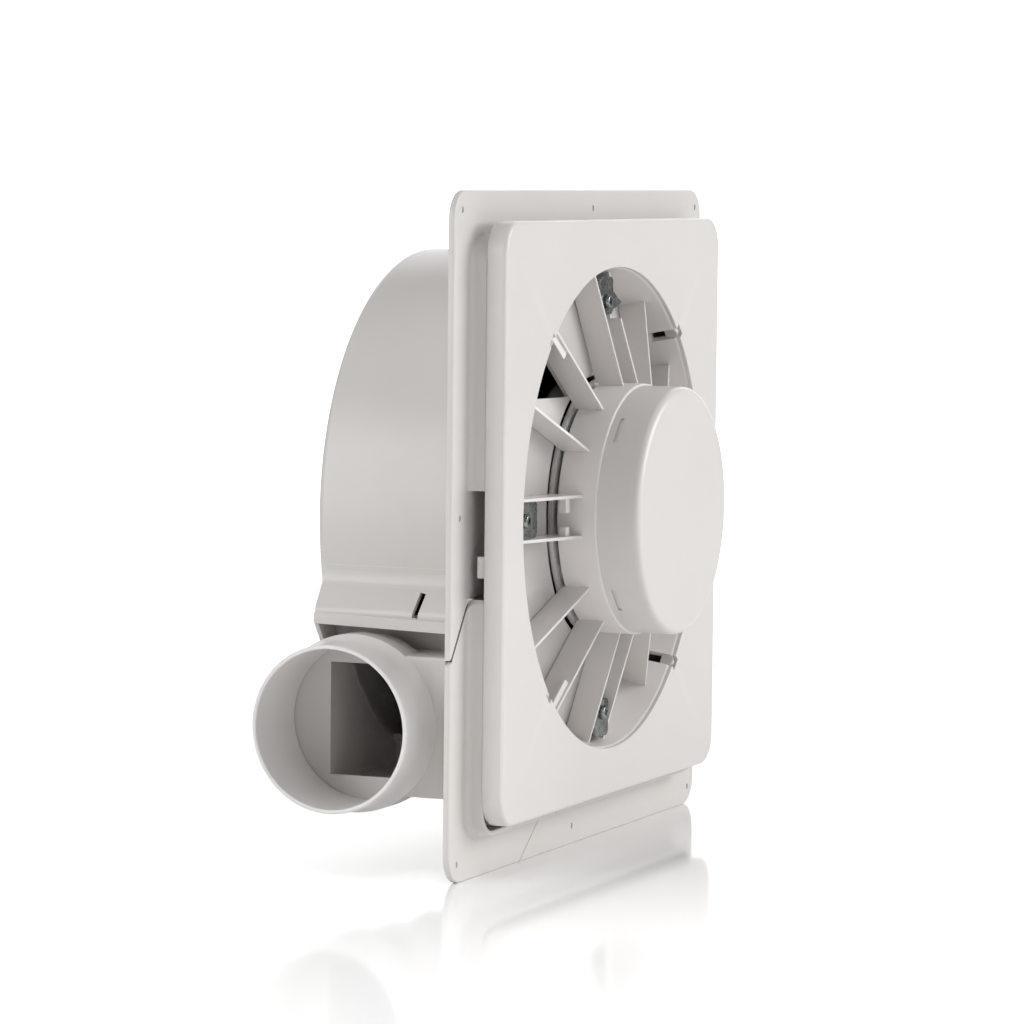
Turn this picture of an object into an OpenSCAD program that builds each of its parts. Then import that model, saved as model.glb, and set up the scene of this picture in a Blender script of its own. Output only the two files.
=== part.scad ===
// Flush wall exhaust fan: a thin square frame on the wall face, a round fan drum
// behind it, a plug-in corner outlet with a round duct spigot, and a fan insert with
// radial ribs round a central motor.
// As placed, +Z is up, the room side faces -Y, and the origin is the centre of the
// wall frame's back face. The modules draw in the fan's own frame: x to the right,
// y up and z towards the room. The module upright() turns them into place.

/* [Wall frame] */
// Side of the square wall frame
frame_w = 305; // [275:1:340]
// Thickness of the wall frame
frame_t = 3; // [2:0.5:4]
// Corner radius of the wall frame
frame_corner_r = 13; // [8:1:18]
// Width of the rim outside the collar
rim_w = 19; // [16:0.5:24]
// How far the collar stands in front of the wall frame
collar_h = 7.5; // [6:0.5:10]
// Wall thickness of the collar
collar_wall = 2.2; // [1.6:0.2:3]
// Corner radius of the collar
collar_corner_r = 13; // [10:1:16]
// Radius of the cove between wall frame and collar
cove_r = 3; // [1:0.5:4]
// Distance of the fixing holes from the frame's edge
fixing_inset = 8.5; // [6:0.5:10]
// Sideways shift of each middle fixing hole
fixing_shift = 9; // [5:0.5:14]
// Radius of the fixing holes
fixing_hole_r = 1.5; // [1.2:0.1:2.2]
// Depth of the shallow recess in the collar's left wall
recess_depth = 1.1; // [0.6:0.1:1.4]
// Length of the recess, upwards from the seam
recess_len = 47.5; // [40:0.5:60]
// Length of the raised tab in the recess
tab_len = 9.6; // [6:0.2:12]
// Distance of the raised tab from the seam
tab_rise = 9; // [5:0.5:14]

/* [Fan drum] */
// Height of the fan axis above the centre of the wall frame
axis_lift = 5; // [3:0.5:6]
// Distance between the drum and the collar's outer face
drum_margin = 14.5; // [12:0.5:20]
// Depth of the drum behind the wall frame
drum_depth = 78; // [70:1:95]
// Wall thickness of the drum
drum_wall = 2.2; // [1.6:0.2:3]
// Radius of the drum's rear edge
drum_edge_r = 4; // [3:0.5:6]
// Thickness of the flat ledge above the corner outlet
ledge_t = 5.2; // [4:0.2:6]
// Gap between the ledge and the corner outlet
ledge_gap = 11.6; // [8:0.2:14]
// How far the ledge and the flare above it stand out past the drum
ledge_out = 7; // [4:0.5:9]
// Height of the flare above the ledge
flare_rise = 15; // [8:0.5:20]
// How much lower the ledge lies at the wall frame than at its rear end
ledge_fall = 2; // [0:0.2:3]
// Width of the slanted slot above the ledge
slot_w = 2; // [1.5:0.5:4]
// Length of the slanted slot
slot_len = 11; // [8:0.5:16]
// Lean of the slanted slot away from upright
slot_lean = 9; // [5:1:40]
// Distance of the slanted slot behind the wall frame
slot_back = 26; // [20:1:40]
// How far the rear web reaches down below the ledge
web_drop = 9; // [6:0.5:10]
// Radius of the drum's screw bosses
boss_r = 5; // [4:0.5:6]
// Length of the drum's screw bosses
boss_len = 11; // [9:1:14]
// Radius of the case screws' shanks
case_screw_r = 1.6; // [1.4:0.1:2]
// Radius of the case screws' heads
case_head_r = 3.2; // [2.8:0.1:3.6]
// Height of the case screws' heads
case_head_h = 1.8; // [1.4:0.1:2.2]

/* [Corner outlet] */
// How far the outlet's left face stands out past the collar
outlet_out = 0.5; // [0:0.5:3]
// How far the outlet's underside lies below the drum
outlet_below = 3; // [2:0.5:5]
// Height of the outlet box
outlet_height = 63; // [56:1:70]
// Length of the outlet box along the wall
outlet_len = 88; // [80:1:92]
// How far the outlet box ends before the drum's rear face
outlet_behind = 6; // [4:1:12]
// Wall thickness of the outlet box
outlet_wall = 2.2; // [1.6:0.2:3]
// Distance of the left seam above the outlet box
seam_lift = 27; // [22:1:30]
// How far each seam runs towards the corner as it crosses the rim
seam_mitre = 26; // [20:1:30]
// Gap of the seams
seam_gap = 0.3; // [0.2:0.1:0.6]
// Outer radius of the duct spigot
spigot_r = 37.5; // [35:0.5:39]
// Wall thickness of the duct spigot
spigot_wall = 1.9; // [1.5:0.1:2.6]
// Length of the duct spigot in front of the outlet's left face
spigot_len = 26.5; // [20:0.5:40]
// How far the spigot plugs into the outlet
spigot_plug = 13.5; // [10:0.5:15]
// Length of the flare that seats the spigot on the outlet
spigot_flare_len = 10; // [6:0.5:12]
// Distance of the spigot's axis in front of the outlet's rear face
spigot_inset = 20; // [16:0.5:26]
// Wall thickness of the socket round the spigot
socket_wall = 2.9; // [2.3:0.2:3.3]
// Thickness of the wall that closes the socket
socket_floor = 2; // [1.6:0.2:3]
// Height left of the outlet box above and below the air hole
air_hole_edge = 6; // [5:0.5:9]
// Width of the air hole in the socket's floor
air_hole_w = 46; // [40:1:48]

/* [Fan insert] */
// How far the front plate stands out past the collar
plate_out = 0.5; // [0:0.5:2]
// Depth of the front plate's rim
plate_h = 9.5; // [8:0.5:12]
// Wall thickness of the front plate
plate_t = 2; // [1.6:0.2:3]
// Corner radius of the front plate
plate_corner_r = 14; // [10:1:18]
// Radius of the front plate's soft front edge
plate_edge_r = 1.8; // [1:0.1:1.9]
// How much smaller the round opening is than the drum, on the radius
opening_margin = 7; // [6:0.5:10]
// Wall thickness of the opening's inner wall
opening_wall_t = 2.2; // [1.6:0.2:2.4]
// How much narrower the opening's inner wall starts than the opening, on the radius
wall_step = 0.6; // [0.2:0.1:1]
// How much narrower the opening's inner wall becomes towards its rear, on the radius
wall_taper = 5; // [3:0.2:5.4]
// Width of the web's ledge that carries the opening's inner wall
web_ledge = 3; // [2:0.5:5]
// Height of the cover catches and their slots
catch_w = 6; // [5:0.5:8]
// Length of the slot behind each cover catch
catch_slot = 6.5; // [5:0.5:8]
// Thickness of the ribs
rib_t = 1.5; // [1.2:0.1:2]
// Half the clear width of each clamp channel
channel_half = 8.5; // [8:0.1:9]
// Half the angle between the two single ribs of a quarter
rib_spread = 12.2; // [11:0.1:13]
// Angle between the middle of the two single ribs and the diagonal
rib_turn = 2.4; // [0:0.1:3]
// Height of a rib's front edge where it meets the motor bowl
rib_rise = 26.3; // [25.8:0.1:28]
// Depth of the ribs from front to back
rib_depth = 13.3; // [12:0.1:13.4]
// Slope of the ribs and of the inlet ring behind them
rib_slope = 0.29; // [0.28:0.01:0.3]
// Width of the small step on the side of two of the left ribs
step_w = 4.2; // [3:0.2:6]
// How far these steps reach inwards from the opening
step_reach = 21.5; // [16:0.5:26]
// Gap between the ribs and the inlet ring behind them
rib_ring_gap = 0.3; // [0.2:0.1:0.6]
// Distance between the middle of the inlet ring's rounding and the opening
ring_w = 48; // [46:0.5:49]
// Radius of the inlet ring's rounding
ring_round_r = 2.5; // [2.2:0.1:3]
// Thickness of the inlet ring
ring_t = 1.8; // [1.4:0.1:2]
// Distance between the inlet windows and the middle of the ring's rounding
window_in = 2; // [1:0.5:6]
// How far the inlet windows stop before the opening
window_out = 12; // [11:0.5:16]
// How far the windows' straight edges lie nearer to the axis than the ring's rounding
window_drop = 11; // [8:1:16]
// Angle between each inlet window and the ribs beside it
window_margin = 0; // [0:0.1:2]
// Width of the small hooks beside the motor bowl
hook_w = 4.4; // [3:0.2:6]

/* [Motor and hub] */
// Distance between the motor bowl and the middle of the inlet ring's rounding
bowl_gap = 5.7; // [5.4:0.1:6.5]
// Wall thickness of the motor bowl and the hub cap
bowl_wall = 2; // [1.6:0.2:2.4]
// Height of the bowl's front lip in front of the wall frame's back
bowl_front = 33; // [32:0.5:36]
// Height of the bowl's rear edge in front of the wall frame's back
bowl_rear = 14; // [13.8:0.1:14.6]
// Height of the hub cap's face in front of the wall frame's back
cap_front = 53.6; // [52:0.2:58]
// How much slimmer the hub cap is than the motor bowl, on the radius
cap_step = 0.9; // [0.5:0.1:1.5]
// Radius of the hub cap's soft edge
cap_edge_r = 3.4; // [2.4:0.2:5]
// How far the motor's mounting plate stands out past the bowl
motor_plate_out = 1.6; // [1:0.1:2]
// Gap between the motor bowl and the motor's mounting plate
motor_plate_gap = 1.8; // [1.8:0.1:2.4]
// Thickness of the motor's mounting plate
motor_plate_t = 2; // [1.6:0.2:2.4]
// Distance between the motor case and the bowl's outer face
motor_margin = 16.3; // [14:0.5:20]
// Wall thickness of the motor case
motor_wall = 2; // [1.6:0.2:2.4]
// Distance between the motor case and the wheel's disc
motor_end_gap = 22; // [16:1:30]
// Radius of the motor shaft
shaft_r = 3; // [2.5:0.5:4]
// Running clearance of the shaft in its bearings
shaft_clearance = 0.05; // [0.02:0.01:0.08]
// Outer radius of the bearings
bearing_r = 8; // [7:0.5:9]
// Length of the bearings
bearing_len = 5; // [4:0.5:6]
// Air gap between rotor and stator
air_gap = 0.5; // [0.3:0.1:1]
// Length of the rotor and stator cores
core_len = 26; // [20:1:28]
// Radius of the capacitor
capacitor_r = 9; // [7:0.5:11]
// Height of the capacitor
capacitor_h = 17; // [12:1:18]

/* [Fan wheel] */
// Distance between the fan wheel and the drum's inner face
wheel_gap = 18.8; // [14:0.2:22]
// Width of the ring of blades
blade_w = 22; // [20:0.5:24]
// Number of blades
blade_count = 36; // [24:1:40]
// Thickness of a blade
blade_t = 1.4; // [1:0.1:2]
// Radius of a blade's curve
blade_curve_r = 17; // [16:0.5:18]
// Distance of the wheel's rear face before the drum's rear face
wheel_rear_gap = 8; // [7:0.5:12]
// Distance of the wheel's front face behind the wall frame
wheel_front = 4; // [3.5:0.5:8]
// Thickness of the wheel's disc and rim
wheel_t = 2; // [1.6:0.2:3]

/* [Clamps] */
// Distance of the clamp screws from the opening's inner wall
clamp_inset = 16; // [15:0.5:18]
// Radius of the clamp screws' shanks
clamp_screw_r = 2; // [1.6:0.1:2.2]
// Radius of the clamp screws' heads
clamp_head_r = 3.3; // [3:0.1:3.6]
// Height of the clamp screws' heads
clamp_head_h = 2.2; // [1.8:0.1:2.6]
// Sheet thickness of the clamp claws
claw_t = 1.2; // [1:0.1:1.4]
// Height of the claws' rear face in front of the wall frame's back
claw_level = 12.8; // [12.4:0.1:13]
// Length of the clamp claws
claw_len = 17.6; // [15:0.2:18]
// How far the middle of each claw lies outside its screw
claw_shift = 2.6; // [1:0.1:3]
// Corner radius of the clamp claws
claw_corner_r = 3; // [2:0.5:5]
// How far the upper claw's ear reaches past its rib
ear_reach = 9; // [7:0.5:11]

/* [Wiring] */
// Length of the junction box along the wall
junction_w = 40; // [36:1:42]
// Height of the junction box
junction_h = 38; // [34:1:40]
// Depth of the junction box behind the wall frame
junction_depth = 26; // [24:1:32]
// Wall thickness of the junction box
junction_wall = 2; // [1.6:0.2:2.6]
// Distance between the junction box's corner and the drum
junction_gap = 5.4; // [3:0.2:6]
// Radius of the cable gland
gland_r = 9; // [8:0.5:10]
// Radius of the cable gland's bore
gland_bore_r = 4.5; // [3:0.5:5]
// Height of the cable gland outside the junction box
gland_h = 12; // [10:1:14]

/* [Hidden] */
$fn = 96;

// How far a cutting body runs past the face that it cuts
past = 1;
// Clearance between a screw's shank and the hole that it passes
screw_clearance = 0.3;
// Clearance between a screw's shank and the boss that it bites into
bite_clearance = 0.02;
// Clearance of the spigot in its socket
plug_clearance = 0.3;
// How much slimmer the spigot is where it sits in its socket
plug_relief = 0.7;
// Room at the end of a screw or a plug
end_gap = 0.5;

frame_half = frame_w / 2;
collar_w = frame_w - 2 * rim_w;
collar_half = collar_w / 2;
collar_front = frame_t + collar_h;
fixing_offset = frame_half - fixing_inset;

drum_r = collar_half - drum_margin;
drum_inner_r = drum_r - drum_wall;
boss_at = drum_r + boss_r - 1.5;
drum_boss_turns = [60, 135, 315];
boss_floor = 1;

outlet_left_x = collar_half + outlet_out;
outlet_inner_x = outlet_left_x - outlet_len;
outlet_bottom = drum_r - axis_lift + outlet_below;
outlet_top = outlet_bottom - outlet_height;
outlet_depth = drum_depth - outlet_behind;
outlet_cavity_back = outlet_wall - outlet_depth;
outlet_boss_drop = outlet_top - 6;
outlet_boss_turn = 180 + asin((outlet_boss_drop + axis_lift) / boss_at);
all_boss_turns = concat(drum_boss_turns, [outlet_boss_turn]);
seam_left = outlet_top - seam_lift;
seam_bottom = outlet_inner_x;
ledge_drop = outlet_top - ledge_gap - ledge_t;
slot_drop = ledge_drop - 4.5;
recess_top = recess_len - seam_left;
spigot_back = outlet_depth - spigot_inset;
spigot_drop = (outlet_top + outlet_bottom) / 2;
socket_inner_r = spigot_r - plug_relief + plug_clearance;
socket_outer_r = socket_inner_r + socket_wall;
socket_deep = spigot_plug + end_gap;
flare_x = -drum_r - ledge_out;
flare_inner_x = -drum_r * 0.8;
flare_top = flare_rise - ledge_drop;
flare_end = 1.2 - ledge_drop;
flare_steps = 8;
web_foot = ledge_drop + ledge_t + web_drop;
air_hole_h = outlet_height - 2 * air_hole_edge;

plate_w = collar_w + 2 * plate_out;
plate_back = collar_front;
plate_front = plate_back + plate_h;
plate_inner = plate_front - plate_t;
opening_r = drum_r - opening_margin;
opening_outer_r = opening_r + opening_wall_t;
web_hole_r = opening_r - web_ledge;

ring_round_at = opening_r - ring_w;
bowl_r = ring_round_at - bowl_gap;
rib_back = rib_rise - rib_depth;
ring_angle = atan(rib_slope);
ring_centre_h = rib_back - rib_ring_gap - rib_slope * bowl_gap
    - ring_round_r / cos(ring_angle);
ring_inner_round_r = ring_round_r - ring_t;
ring_arc_steps = 12;
ring_arc = [for (k = [0 : ring_arc_steps])
    180 - k * (90 + ring_angle) / ring_arc_steps];
ring_lip_end = -2;
wall_top_r = opening_r - wall_step;
throat_r = wall_top_r - wall_taper;
throat_h = ring_line(throat_r, ring_round_r);
neck_r = web_hole_r - plug_clearance;
neck_end = ring_line(throat_r, ring_inner_round_r);
seat_h = frame_t + opening_wall_t;
seat_r = throat_r + wall_taper * (seat_h - throat_h) / (plate_inner - throat_h)
    + opening_wall_t + wall_step;
window_inner_r = ring_round_at + window_in;
window_outer_r = opening_r - window_out;
window_edge = ring_round_at - window_drop;
window_turns = [45 + rib_turn, 135 + rib_turn];
catch_play = 0.8;
catch_t = 2.6;
catch_drop = 1.5;

bowl_inner_r = bowl_r - bowl_wall;
bowl_floor = bowl_rear + bowl_wall;
cap_r = bowl_r - cap_step;
cap_inner_r = cap_r - bowl_wall;
snap_turns = [40, 140, 220, 320];
skirt_t = 1.4;
skirt_h = 5;
snap_w = 7;
snap_deep = 2.5;
snap_t = 1.2;
snap_play = 0.5;
floor_hole_r = 9;
plate_pad_r = 5;
motor_plate_r = bowl_r + motor_plate_out;
motor_plate_front = bowl_rear - motor_plate_gap;
motor_plate_back = motor_plate_front - motor_plate_t;
plate_screw_at = bowl_inner_r - 6.3;
motor_r = bowl_r - motor_margin;
motor_inner_r = motor_r - motor_wall;
rotor_r = motor_r / 2 + 0.5;
board_r = bowl_inner_r - 6.3;
board_boss_at = bowl_inner_r - 12.3;
board_boss_r = 3.5;
board_front = bowl_front - 3;
board_t = 1.6;
capacitor_lift = board_r * 0.44;

rib_mid = channel_half + rib_t / 2;
rib_inner_u = bowl_r - 10;
rib_outer_u = opening_r + 6;
hook_r = bowl_r + 5.7;
hook_h = [19, 22.6];

clamp_r = opening_r - clamp_inset;
clamp_boss_r = 5;
clamp_boss_back = ring_line(clamp_r + clamp_boss_r, ring_inner_round_r) - end_gap;
claw_half = channel_half - 0.2;
claw_front = claw_level + claw_t;
step_u = opening_r - step_reach;
step_drop = 1.2;
step_t = 1.2;
rib_notch = [clamp_r - 12, clamp_r + 8];

wheel_r = drum_inner_r - wheel_gap;
blade_inner_r = wheel_r - blade_w;
wheel_rear = drum_depth - wheel_rear_gap;
bush_r = 10;
bush_front = 16 - wheel_rear;
motor_rear = wheel_rear - wheel_t - motor_end_gap;
core_front = -4;
core_back = core_front - core_len;
winding_h = 6;
winding_w = motor_inner_r - rotor_r - 3;
front_bearing_back = motor_plate_front - bearing_len;
rear_bearing_front = bearing_len - motor_rear;
shaft_front = motor_plate_front - 1;
nut_h = 3;
shaft_back = -wheel_rear - nut_h - end_gap;

junction_at = (drum_r + junction_gap) / sqrt(2);
junction_x = [junction_at, junction_at + junction_w];
junction_y = [junction_at + axis_lift, junction_at + axis_lift + junction_h];
junction_mid_x = junction_at + junction_w / 2;
junction_mid_y = junction_y[0] + junction_h / 2;
access_edge = 6;
block_size = [26, 11, 12];
block_back = junction_wall - junction_depth;
terminal_screw_r = 2.4;
terminal_pitch = 8;
terminal_deep = 4;
gland_neck_r = 6.5;
gland_depth = junction_depth / 2;
gland_nut_h = 2;

function ring_point(a, r) = [ring_round_at + r * cos(a), ring_centre_h + r * sin(a)];

function ring_line(at, r) =
    ring_centre_h + r / cos(ring_angle) - rib_slope * (at - ring_round_at);

function smooth(t) = t * t * (3 - 2 * t);

function mix(a, b, t) = a + (b - a) * t;

function drum_edge_x(wall) =
    -sqrt(pow(drum_r - wall, 2) - pow(flare_top - wall / 2 - axis_lift, 2));

function rib_front(at) = rib_rise - rib_slope * (at - bowl_r);

// Turns the fan's own frame into the placed one
module upright() rotate([90, 0, 0]) children();

// Moves onto the fan axis
module on_axis() translate([0, axis_lift, 0]) children();

module tube(r_out, r_in, z0, z1) difference() {
    translate([0, 0, z0]) cylinder(r = r_out, h = z1 - z0);
    translate([0, 0, z0 - past]) cylinder(r = r_in, h = z1 - z0 + 2 * past);
}

module rod(r, z0, z1) translate([0, 0, z0]) cylinder(r = r, h = z1 - z0);

module block(x, y, z) translate([x[0], y[0], z[0]])
    cube([x[1] - x[0], y[1] - y[0], z[1] - z[0]]);

module rounded_rectangle(w, h, r) {
    square([w - 2 * r, h], center = true);
    square([w, h - 2 * r], center = true);
    for (sx = [-1, 1], sy = [-1, 1])
        translate([sx * (w / 2 - r), sy * (h / 2 - r)]) circle(r);
}

module rounded_square(w, r) rounded_rectangle(w, w, r);

// Draws a profile all round a rounded square; the profile's x is measured from the
// centre of the corner radius outwards
module round_square(w, r) {
    for (k = [0 : 3]) rotate([0, 0, 90 * k]) {
        translate([w / 2 - r, w / 2 - r, 0]) rotate_extrude(angle = 90) children();
        translate([w / 2 - r, w / 2 - r, 0]) rotate([90, 0, 0])
            linear_extrude(w - 2 * r) children();
    }
}

module cross_head(r, h) difference() {
    cylinder(r = r, h = h);
    for (a = [0, 90]) rotate([0, 0, a])
        translate([-r * 0.6, -r * 0.12, h * 0.5]) cube([r * 1.2, r * 0.24, h]);
}

module case_screw(z_seat, z_end) {
    translate([0, 0, z_seat]) cross_head(case_head_r, case_head_h);
    rod(case_screw_r, z_end, z_seat);
}

// The corner of the frame that belongs to the outlet
module corner_zone(gap) difference() {
    polygon([
        [-seam_bottom - gap, -seam_left - gap],
        [-collar_half, -seam_left - gap],
        [-frame_half, -seam_left - seam_mitre - gap],
        [-frame_w, -seam_left - seam_mitre - gap],
        [-frame_w, -frame_w],
        [-seam_bottom - seam_mitre - gap, -frame_w],
        [-seam_bottom - seam_mitre - gap, -frame_half],
        [-seam_bottom - gap, -collar_half]
    ]);
    translate([0, axis_lift]) circle(drum_r + gap);
}

module frame_shell() {
    difference() {
        union() {
            linear_extrude(frame_t) rounded_square(frame_w, frame_corner_r);
            translate([0, 0, frame_t]) linear_extrude(collar_h)
                rounded_square(collar_w, collar_corner_r);
            translate([0, 0, frame_t]) round_square(collar_w, collar_corner_r)
                translate([collar_corner_r - collar_wall, 0]) difference() {
                    square([collar_wall + cove_r, cove_r]);
                    translate([collar_wall + cove_r, cove_r]) circle(cove_r);
                }
        }
        translate([0, 0, frame_t]) linear_extrude(collar_h + past)
            rounded_square(collar_w - 2 * collar_wall, collar_corner_r - collar_wall);
        on_axis() rod(web_hole_r, -past, frame_t + past);
        for (a = [0 : 90 : 270]) rotate([0, 0, a]) {
            translate([fixing_shift, fixing_offset, 0])
                rod(fixing_hole_r, -past, frame_t + past);
            translate([fixing_offset, fixing_offset, 0])
                rod(fixing_hole_r, -past, frame_t + past);
        }
    }
}

module drum_boss_places(turns) on_axis() for (a = turns)
    rotate([0, 0, a]) translate([boss_at, 0, 0]) rotate([0, 0, -a]) children();

module wall_frame() color("#dedad5") {
    difference() {
        frame_shell();
        translate([0, 0, -past]) linear_extrude(collar_front + 2 * past) corner_zone(0);
        drum_boss_places(drum_boss_turns)
            rod(case_screw_r + screw_clearance, -past, frame_t + past);
        block([-collar_half - cove_r - past, -collar_half + recess_depth],
            [-seam_left, recess_top], [frame_t, collar_front + past]);
        block([junction_x[0] + access_edge, junction_x[1] - access_edge],
            [junction_y[0] + access_edge, junction_y[1] - access_edge],
            [-past, frame_t + past]);
    }
    block([-collar_half, -collar_half + recess_depth],
        [tab_rise - seam_left, tab_rise + tab_len - seam_left],
        [frame_t, collar_front - end_gap]);
}

module drum_window() block([-drum_r - past, -outlet_inner_x - 2 * outlet_wall],
    [outlet_wall - outlet_bottom, -outlet_top - outlet_wall],
    [outlet_cavity_back, -drum_wall]);

// Section of the ledge seen from its left end: depth behind the wall against height
module ledge_section() polygon([
    [drum_depth - drum_wall, -ledge_drop],
    [frame_t, -ledge_drop - ledge_fall],
    [frame_t, -ledge_drop - ledge_fall - ledge_t],
    [drum_depth - drum_wall, -ledge_drop - ledge_t]
]);

// Curves the drum out to the ledge; wall is how far the outline is moved inwards
module flare(wall, foot, z0, z1) translate([0, 0, z0]) linear_extrude(z1 - z0)
    polygon(concat(
        [for (k = [0 : flare_steps]) [
            mix(drum_edge_x(wall), flare_x + wall, smooth(k / flare_steps)),
            mix(flare_top, flare_end, k / flare_steps) - wall / 2
        ]],
        [
            [flare_x + wall, -ledge_drop - foot],
            [flare_inner_x, -ledge_drop - foot],
            [flare_inner_x, flare_top - wall / 2]
        ]
    ));

// Thin web at the drum's rear, below the ledge's end
module rear_web() translate([0, 0, drum_wall - drum_depth]) linear_extrude(drum_wall)
    polygon([
        [flare_x, -ledge_drop - ledge_t],
        [-drum_r, -web_foot],
        [flare_inner_x, -web_foot],
        [flare_inner_x, -ledge_drop - ledge_t]
    ]);

module fan_drum() color("#d9d5d0") difference() {
    union() {
        on_axis() {
            rod(drum_r, -drum_depth + drum_edge_r, 0);
            rod(drum_r - drum_edge_r, -drum_depth, 0);
            translate([0, 0, -drum_depth + drum_edge_r]) rotate_extrude()
                translate([drum_r - drum_edge_r, 0]) circle(drum_edge_r);
        }
        drum_boss_places(all_boss_turns) rod(boss_r, -boss_len, 0);
        translate([flare_x, 0, 0]) rotate([0, 90, 0])
            linear_extrude(flare_inner_x - flare_x) ledge_section();
        flare(0, ledge_fall, drum_wall - drum_depth, -frame_t);
        rear_web();
    }
    on_axis() rod(drum_inner_r, -drum_depth + drum_wall, past);
    flare(drum_wall, 0, 2 * drum_wall - drum_depth, -frame_t - drum_wall);
    drum_window();
    drum_boss_places(all_boss_turns)
        rod(case_screw_r + bite_clearance, boss_floor - boss_len, past);
    translate([flare_x + 2 * drum_wall, -slot_drop, -slot_back])
        rotate([slot_lean, 0, 0])
            cube([8 * drum_wall, slot_len, slot_w], center = true);
}

module drum_screws() color("#b9bcbe")
    drum_boss_places(drum_boss_turns) case_screw(frame_t, 2 * boss_floor - boss_len);

module spigot_place() translate([-outlet_left_x, -spigot_drop, -spigot_back])
    rotate([0, -90, 0]) children();

module corner_outlet() color("#dcd8d3") {
    difference() {
        union() {
            intersection() {
                frame_shell();
                translate([0, 0, -past]) linear_extrude(collar_front + 2 * past)
                    corner_zone(seam_gap);
            }
            difference() {
                block([-outlet_left_x, -outlet_inner_x], [-outlet_bottom, -outlet_top],
                    [-outlet_depth, 0]);
                block([outlet_wall - outlet_left_x, -outlet_inner_x - outlet_wall],
                    [outlet_wall - outlet_bottom, -outlet_top - outlet_wall],
                    [outlet_cavity_back, past]);
                on_axis() rod(drum_r + seam_gap, -drum_depth, past);
            }
            spigot_place() rod(socket_outer_r, -socket_deep - socket_floor, 0);
        }
        spigot_place() rod(socket_inner_r, -socket_deep, past);
        block([-outlet_left_x, socket_deep + socket_floor + past - outlet_left_x],
            [-spigot_drop - air_hole_h / 2, -spigot_drop + air_hole_h / 2],
            [outlet_cavity_back, outlet_cavity_back + air_hole_w]);
        drum_boss_places([outlet_boss_turn])
            rod(case_screw_r + screw_clearance, -past, frame_t + past);
    }
}

module outlet_screw() color("#b9bcbe")
    drum_boss_places([outlet_boss_turn]) case_screw(frame_t, 2 * boss_floor - boss_len);

module duct_spigot() color("#dedad6") spigot_place() {
    difference() {
        union() {
            rod(spigot_r, 0, spigot_len - spigot_wall / 2);
            cylinder(r1 = socket_outer_r, r2 = spigot_r, h = spigot_flare_len);
            rod(spigot_r - plug_relief, -spigot_plug, past / 2);
        }
        rod(spigot_r - spigot_wall, -spigot_plug - past, spigot_len + past);
    }
    translate([0, 0, spigot_len - spigot_wall / 2]) rotate_extrude()
        translate([spigot_r - spigot_wall / 2, 0]) circle(spigot_wall / 2);
}

module junction_box() color("#d6d2cd") difference() {
    block(junction_x, junction_y, [-junction_depth, 0]);
    block([junction_x[0] + junction_wall, junction_x[1] - junction_wall],
        [junction_y[0] + junction_wall, junction_y[1] - junction_wall],
        [junction_wall - junction_depth, past]);
    gland_place() rod(gland_neck_r, -junction_wall - past, past);
}

module terminal_block() color("#3a3d40") translate([junction_mid_x, junction_mid_y, block_back])
    difference() {
        block([-block_size[0] / 2, block_size[0] / 2],
            [-block_size[1] / 2, block_size[1] / 2], [0, block_size[2]]);
        for (k = [-1 : 1]) translate([k * terminal_pitch, 0, 0]) {
            rod(terminal_screw_r + 0.15, block_size[2] - terminal_deep, block_size[2] + past);
            translate([0, 0, terminal_deep]) rotate([90, 0, 0])
                rod(case_screw_r, -block_size[1] / 2 - past, -1.5);
        }
    }

module terminal_screws() color("#c8a95c")
    for (k = [-1 : 1]) translate([junction_mid_x + k * terminal_pitch, junction_mid_y,
        block_back + block_size[2] - terminal_deep]) cross_head(terminal_screw_r, 2.6);

module gland_place() translate([junction_mid_x, junction_y[1], -gland_depth])
    rotate([-90, 0, 0]) children();

module cable_gland() color("#c9c6c2") gland_place() difference() {
    union() {
        rod(gland_neck_r, -junction_wall, 0);
        translate([0, 0, -junction_wall - gland_nut_h])
            cylinder(r = gland_r, h = gland_nut_h, $fn = 6);
        rod(gland_r, 0, gland_nut_h);
        translate([0, 0, gland_nut_h]) cylinder(r = gland_r, h = gland_h / 2 - 1, $fn = 6);
        translate([0, 0, gland_h / 2 + 1])
            cylinder(r1 = gland_r - 1.2, r2 = gland_r - 2.6, h = gland_h / 2 - 1);
    }
    rod(gland_bore_r, -junction_wall - gland_nut_h - past, gland_h + past);
}

module front_plate() color("#e4e1dd") on_axis() difference() {
    union() {
        round_square(plate_w, plate_corner_r) difference() {
            translate([plate_corner_r - plate_t, plate_back]) square([plate_t, plate_h]);
            translate([plate_corner_r - plate_edge_r, plate_front - plate_edge_r])
                difference() {
                    square([plate_edge_r + past, plate_edge_r + past]);
                    circle(plate_edge_r);
                }
        }
        translate([0, 0, plate_inner]) linear_extrude(plate_t)
            rounded_square(plate_w - 2 * plate_t, plate_corner_r - plate_t);
    }
    rod(opening_r, plate_inner - past, plate_front + past);
    diagonals() block([opening_r - past, opening_outer_r + catch_play],
        [-catch_w / 2 - seam_gap, catch_w / 2 + seam_gap],
        [plate_inner - past, plate_front + past]);
}

module diagonals() for (a = [45 : 90 : 315]) rotate([0, 0, a]) children();

module channels() for (a = [0 : 90 : 270]) rotate([0, 0, a]) children();

// Section of the opening's inner wall: distance from the axis against height
module wall_section() polygon([
    [wall_top_r, plate_inner],
    [opening_outer_r, plate_inner],
    [seat_r, seat_h],
    [opening_outer_r, seat_h],
    [opening_outer_r, frame_t],
    [neck_r, frame_t],
    [neck_r, neck_end],
    [throat_r, neck_end],
    [throat_r, throat_h]
]);

module opening_wall() color("#dfdbd7") on_axis() difference() {
    rotate_extrude() wall_section();
    diagonals() block([throat_r, opening_outer_r + past],
        [-catch_w / 2, catch_w / 2], [catch_slot, plate_inner + past]);
}

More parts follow.
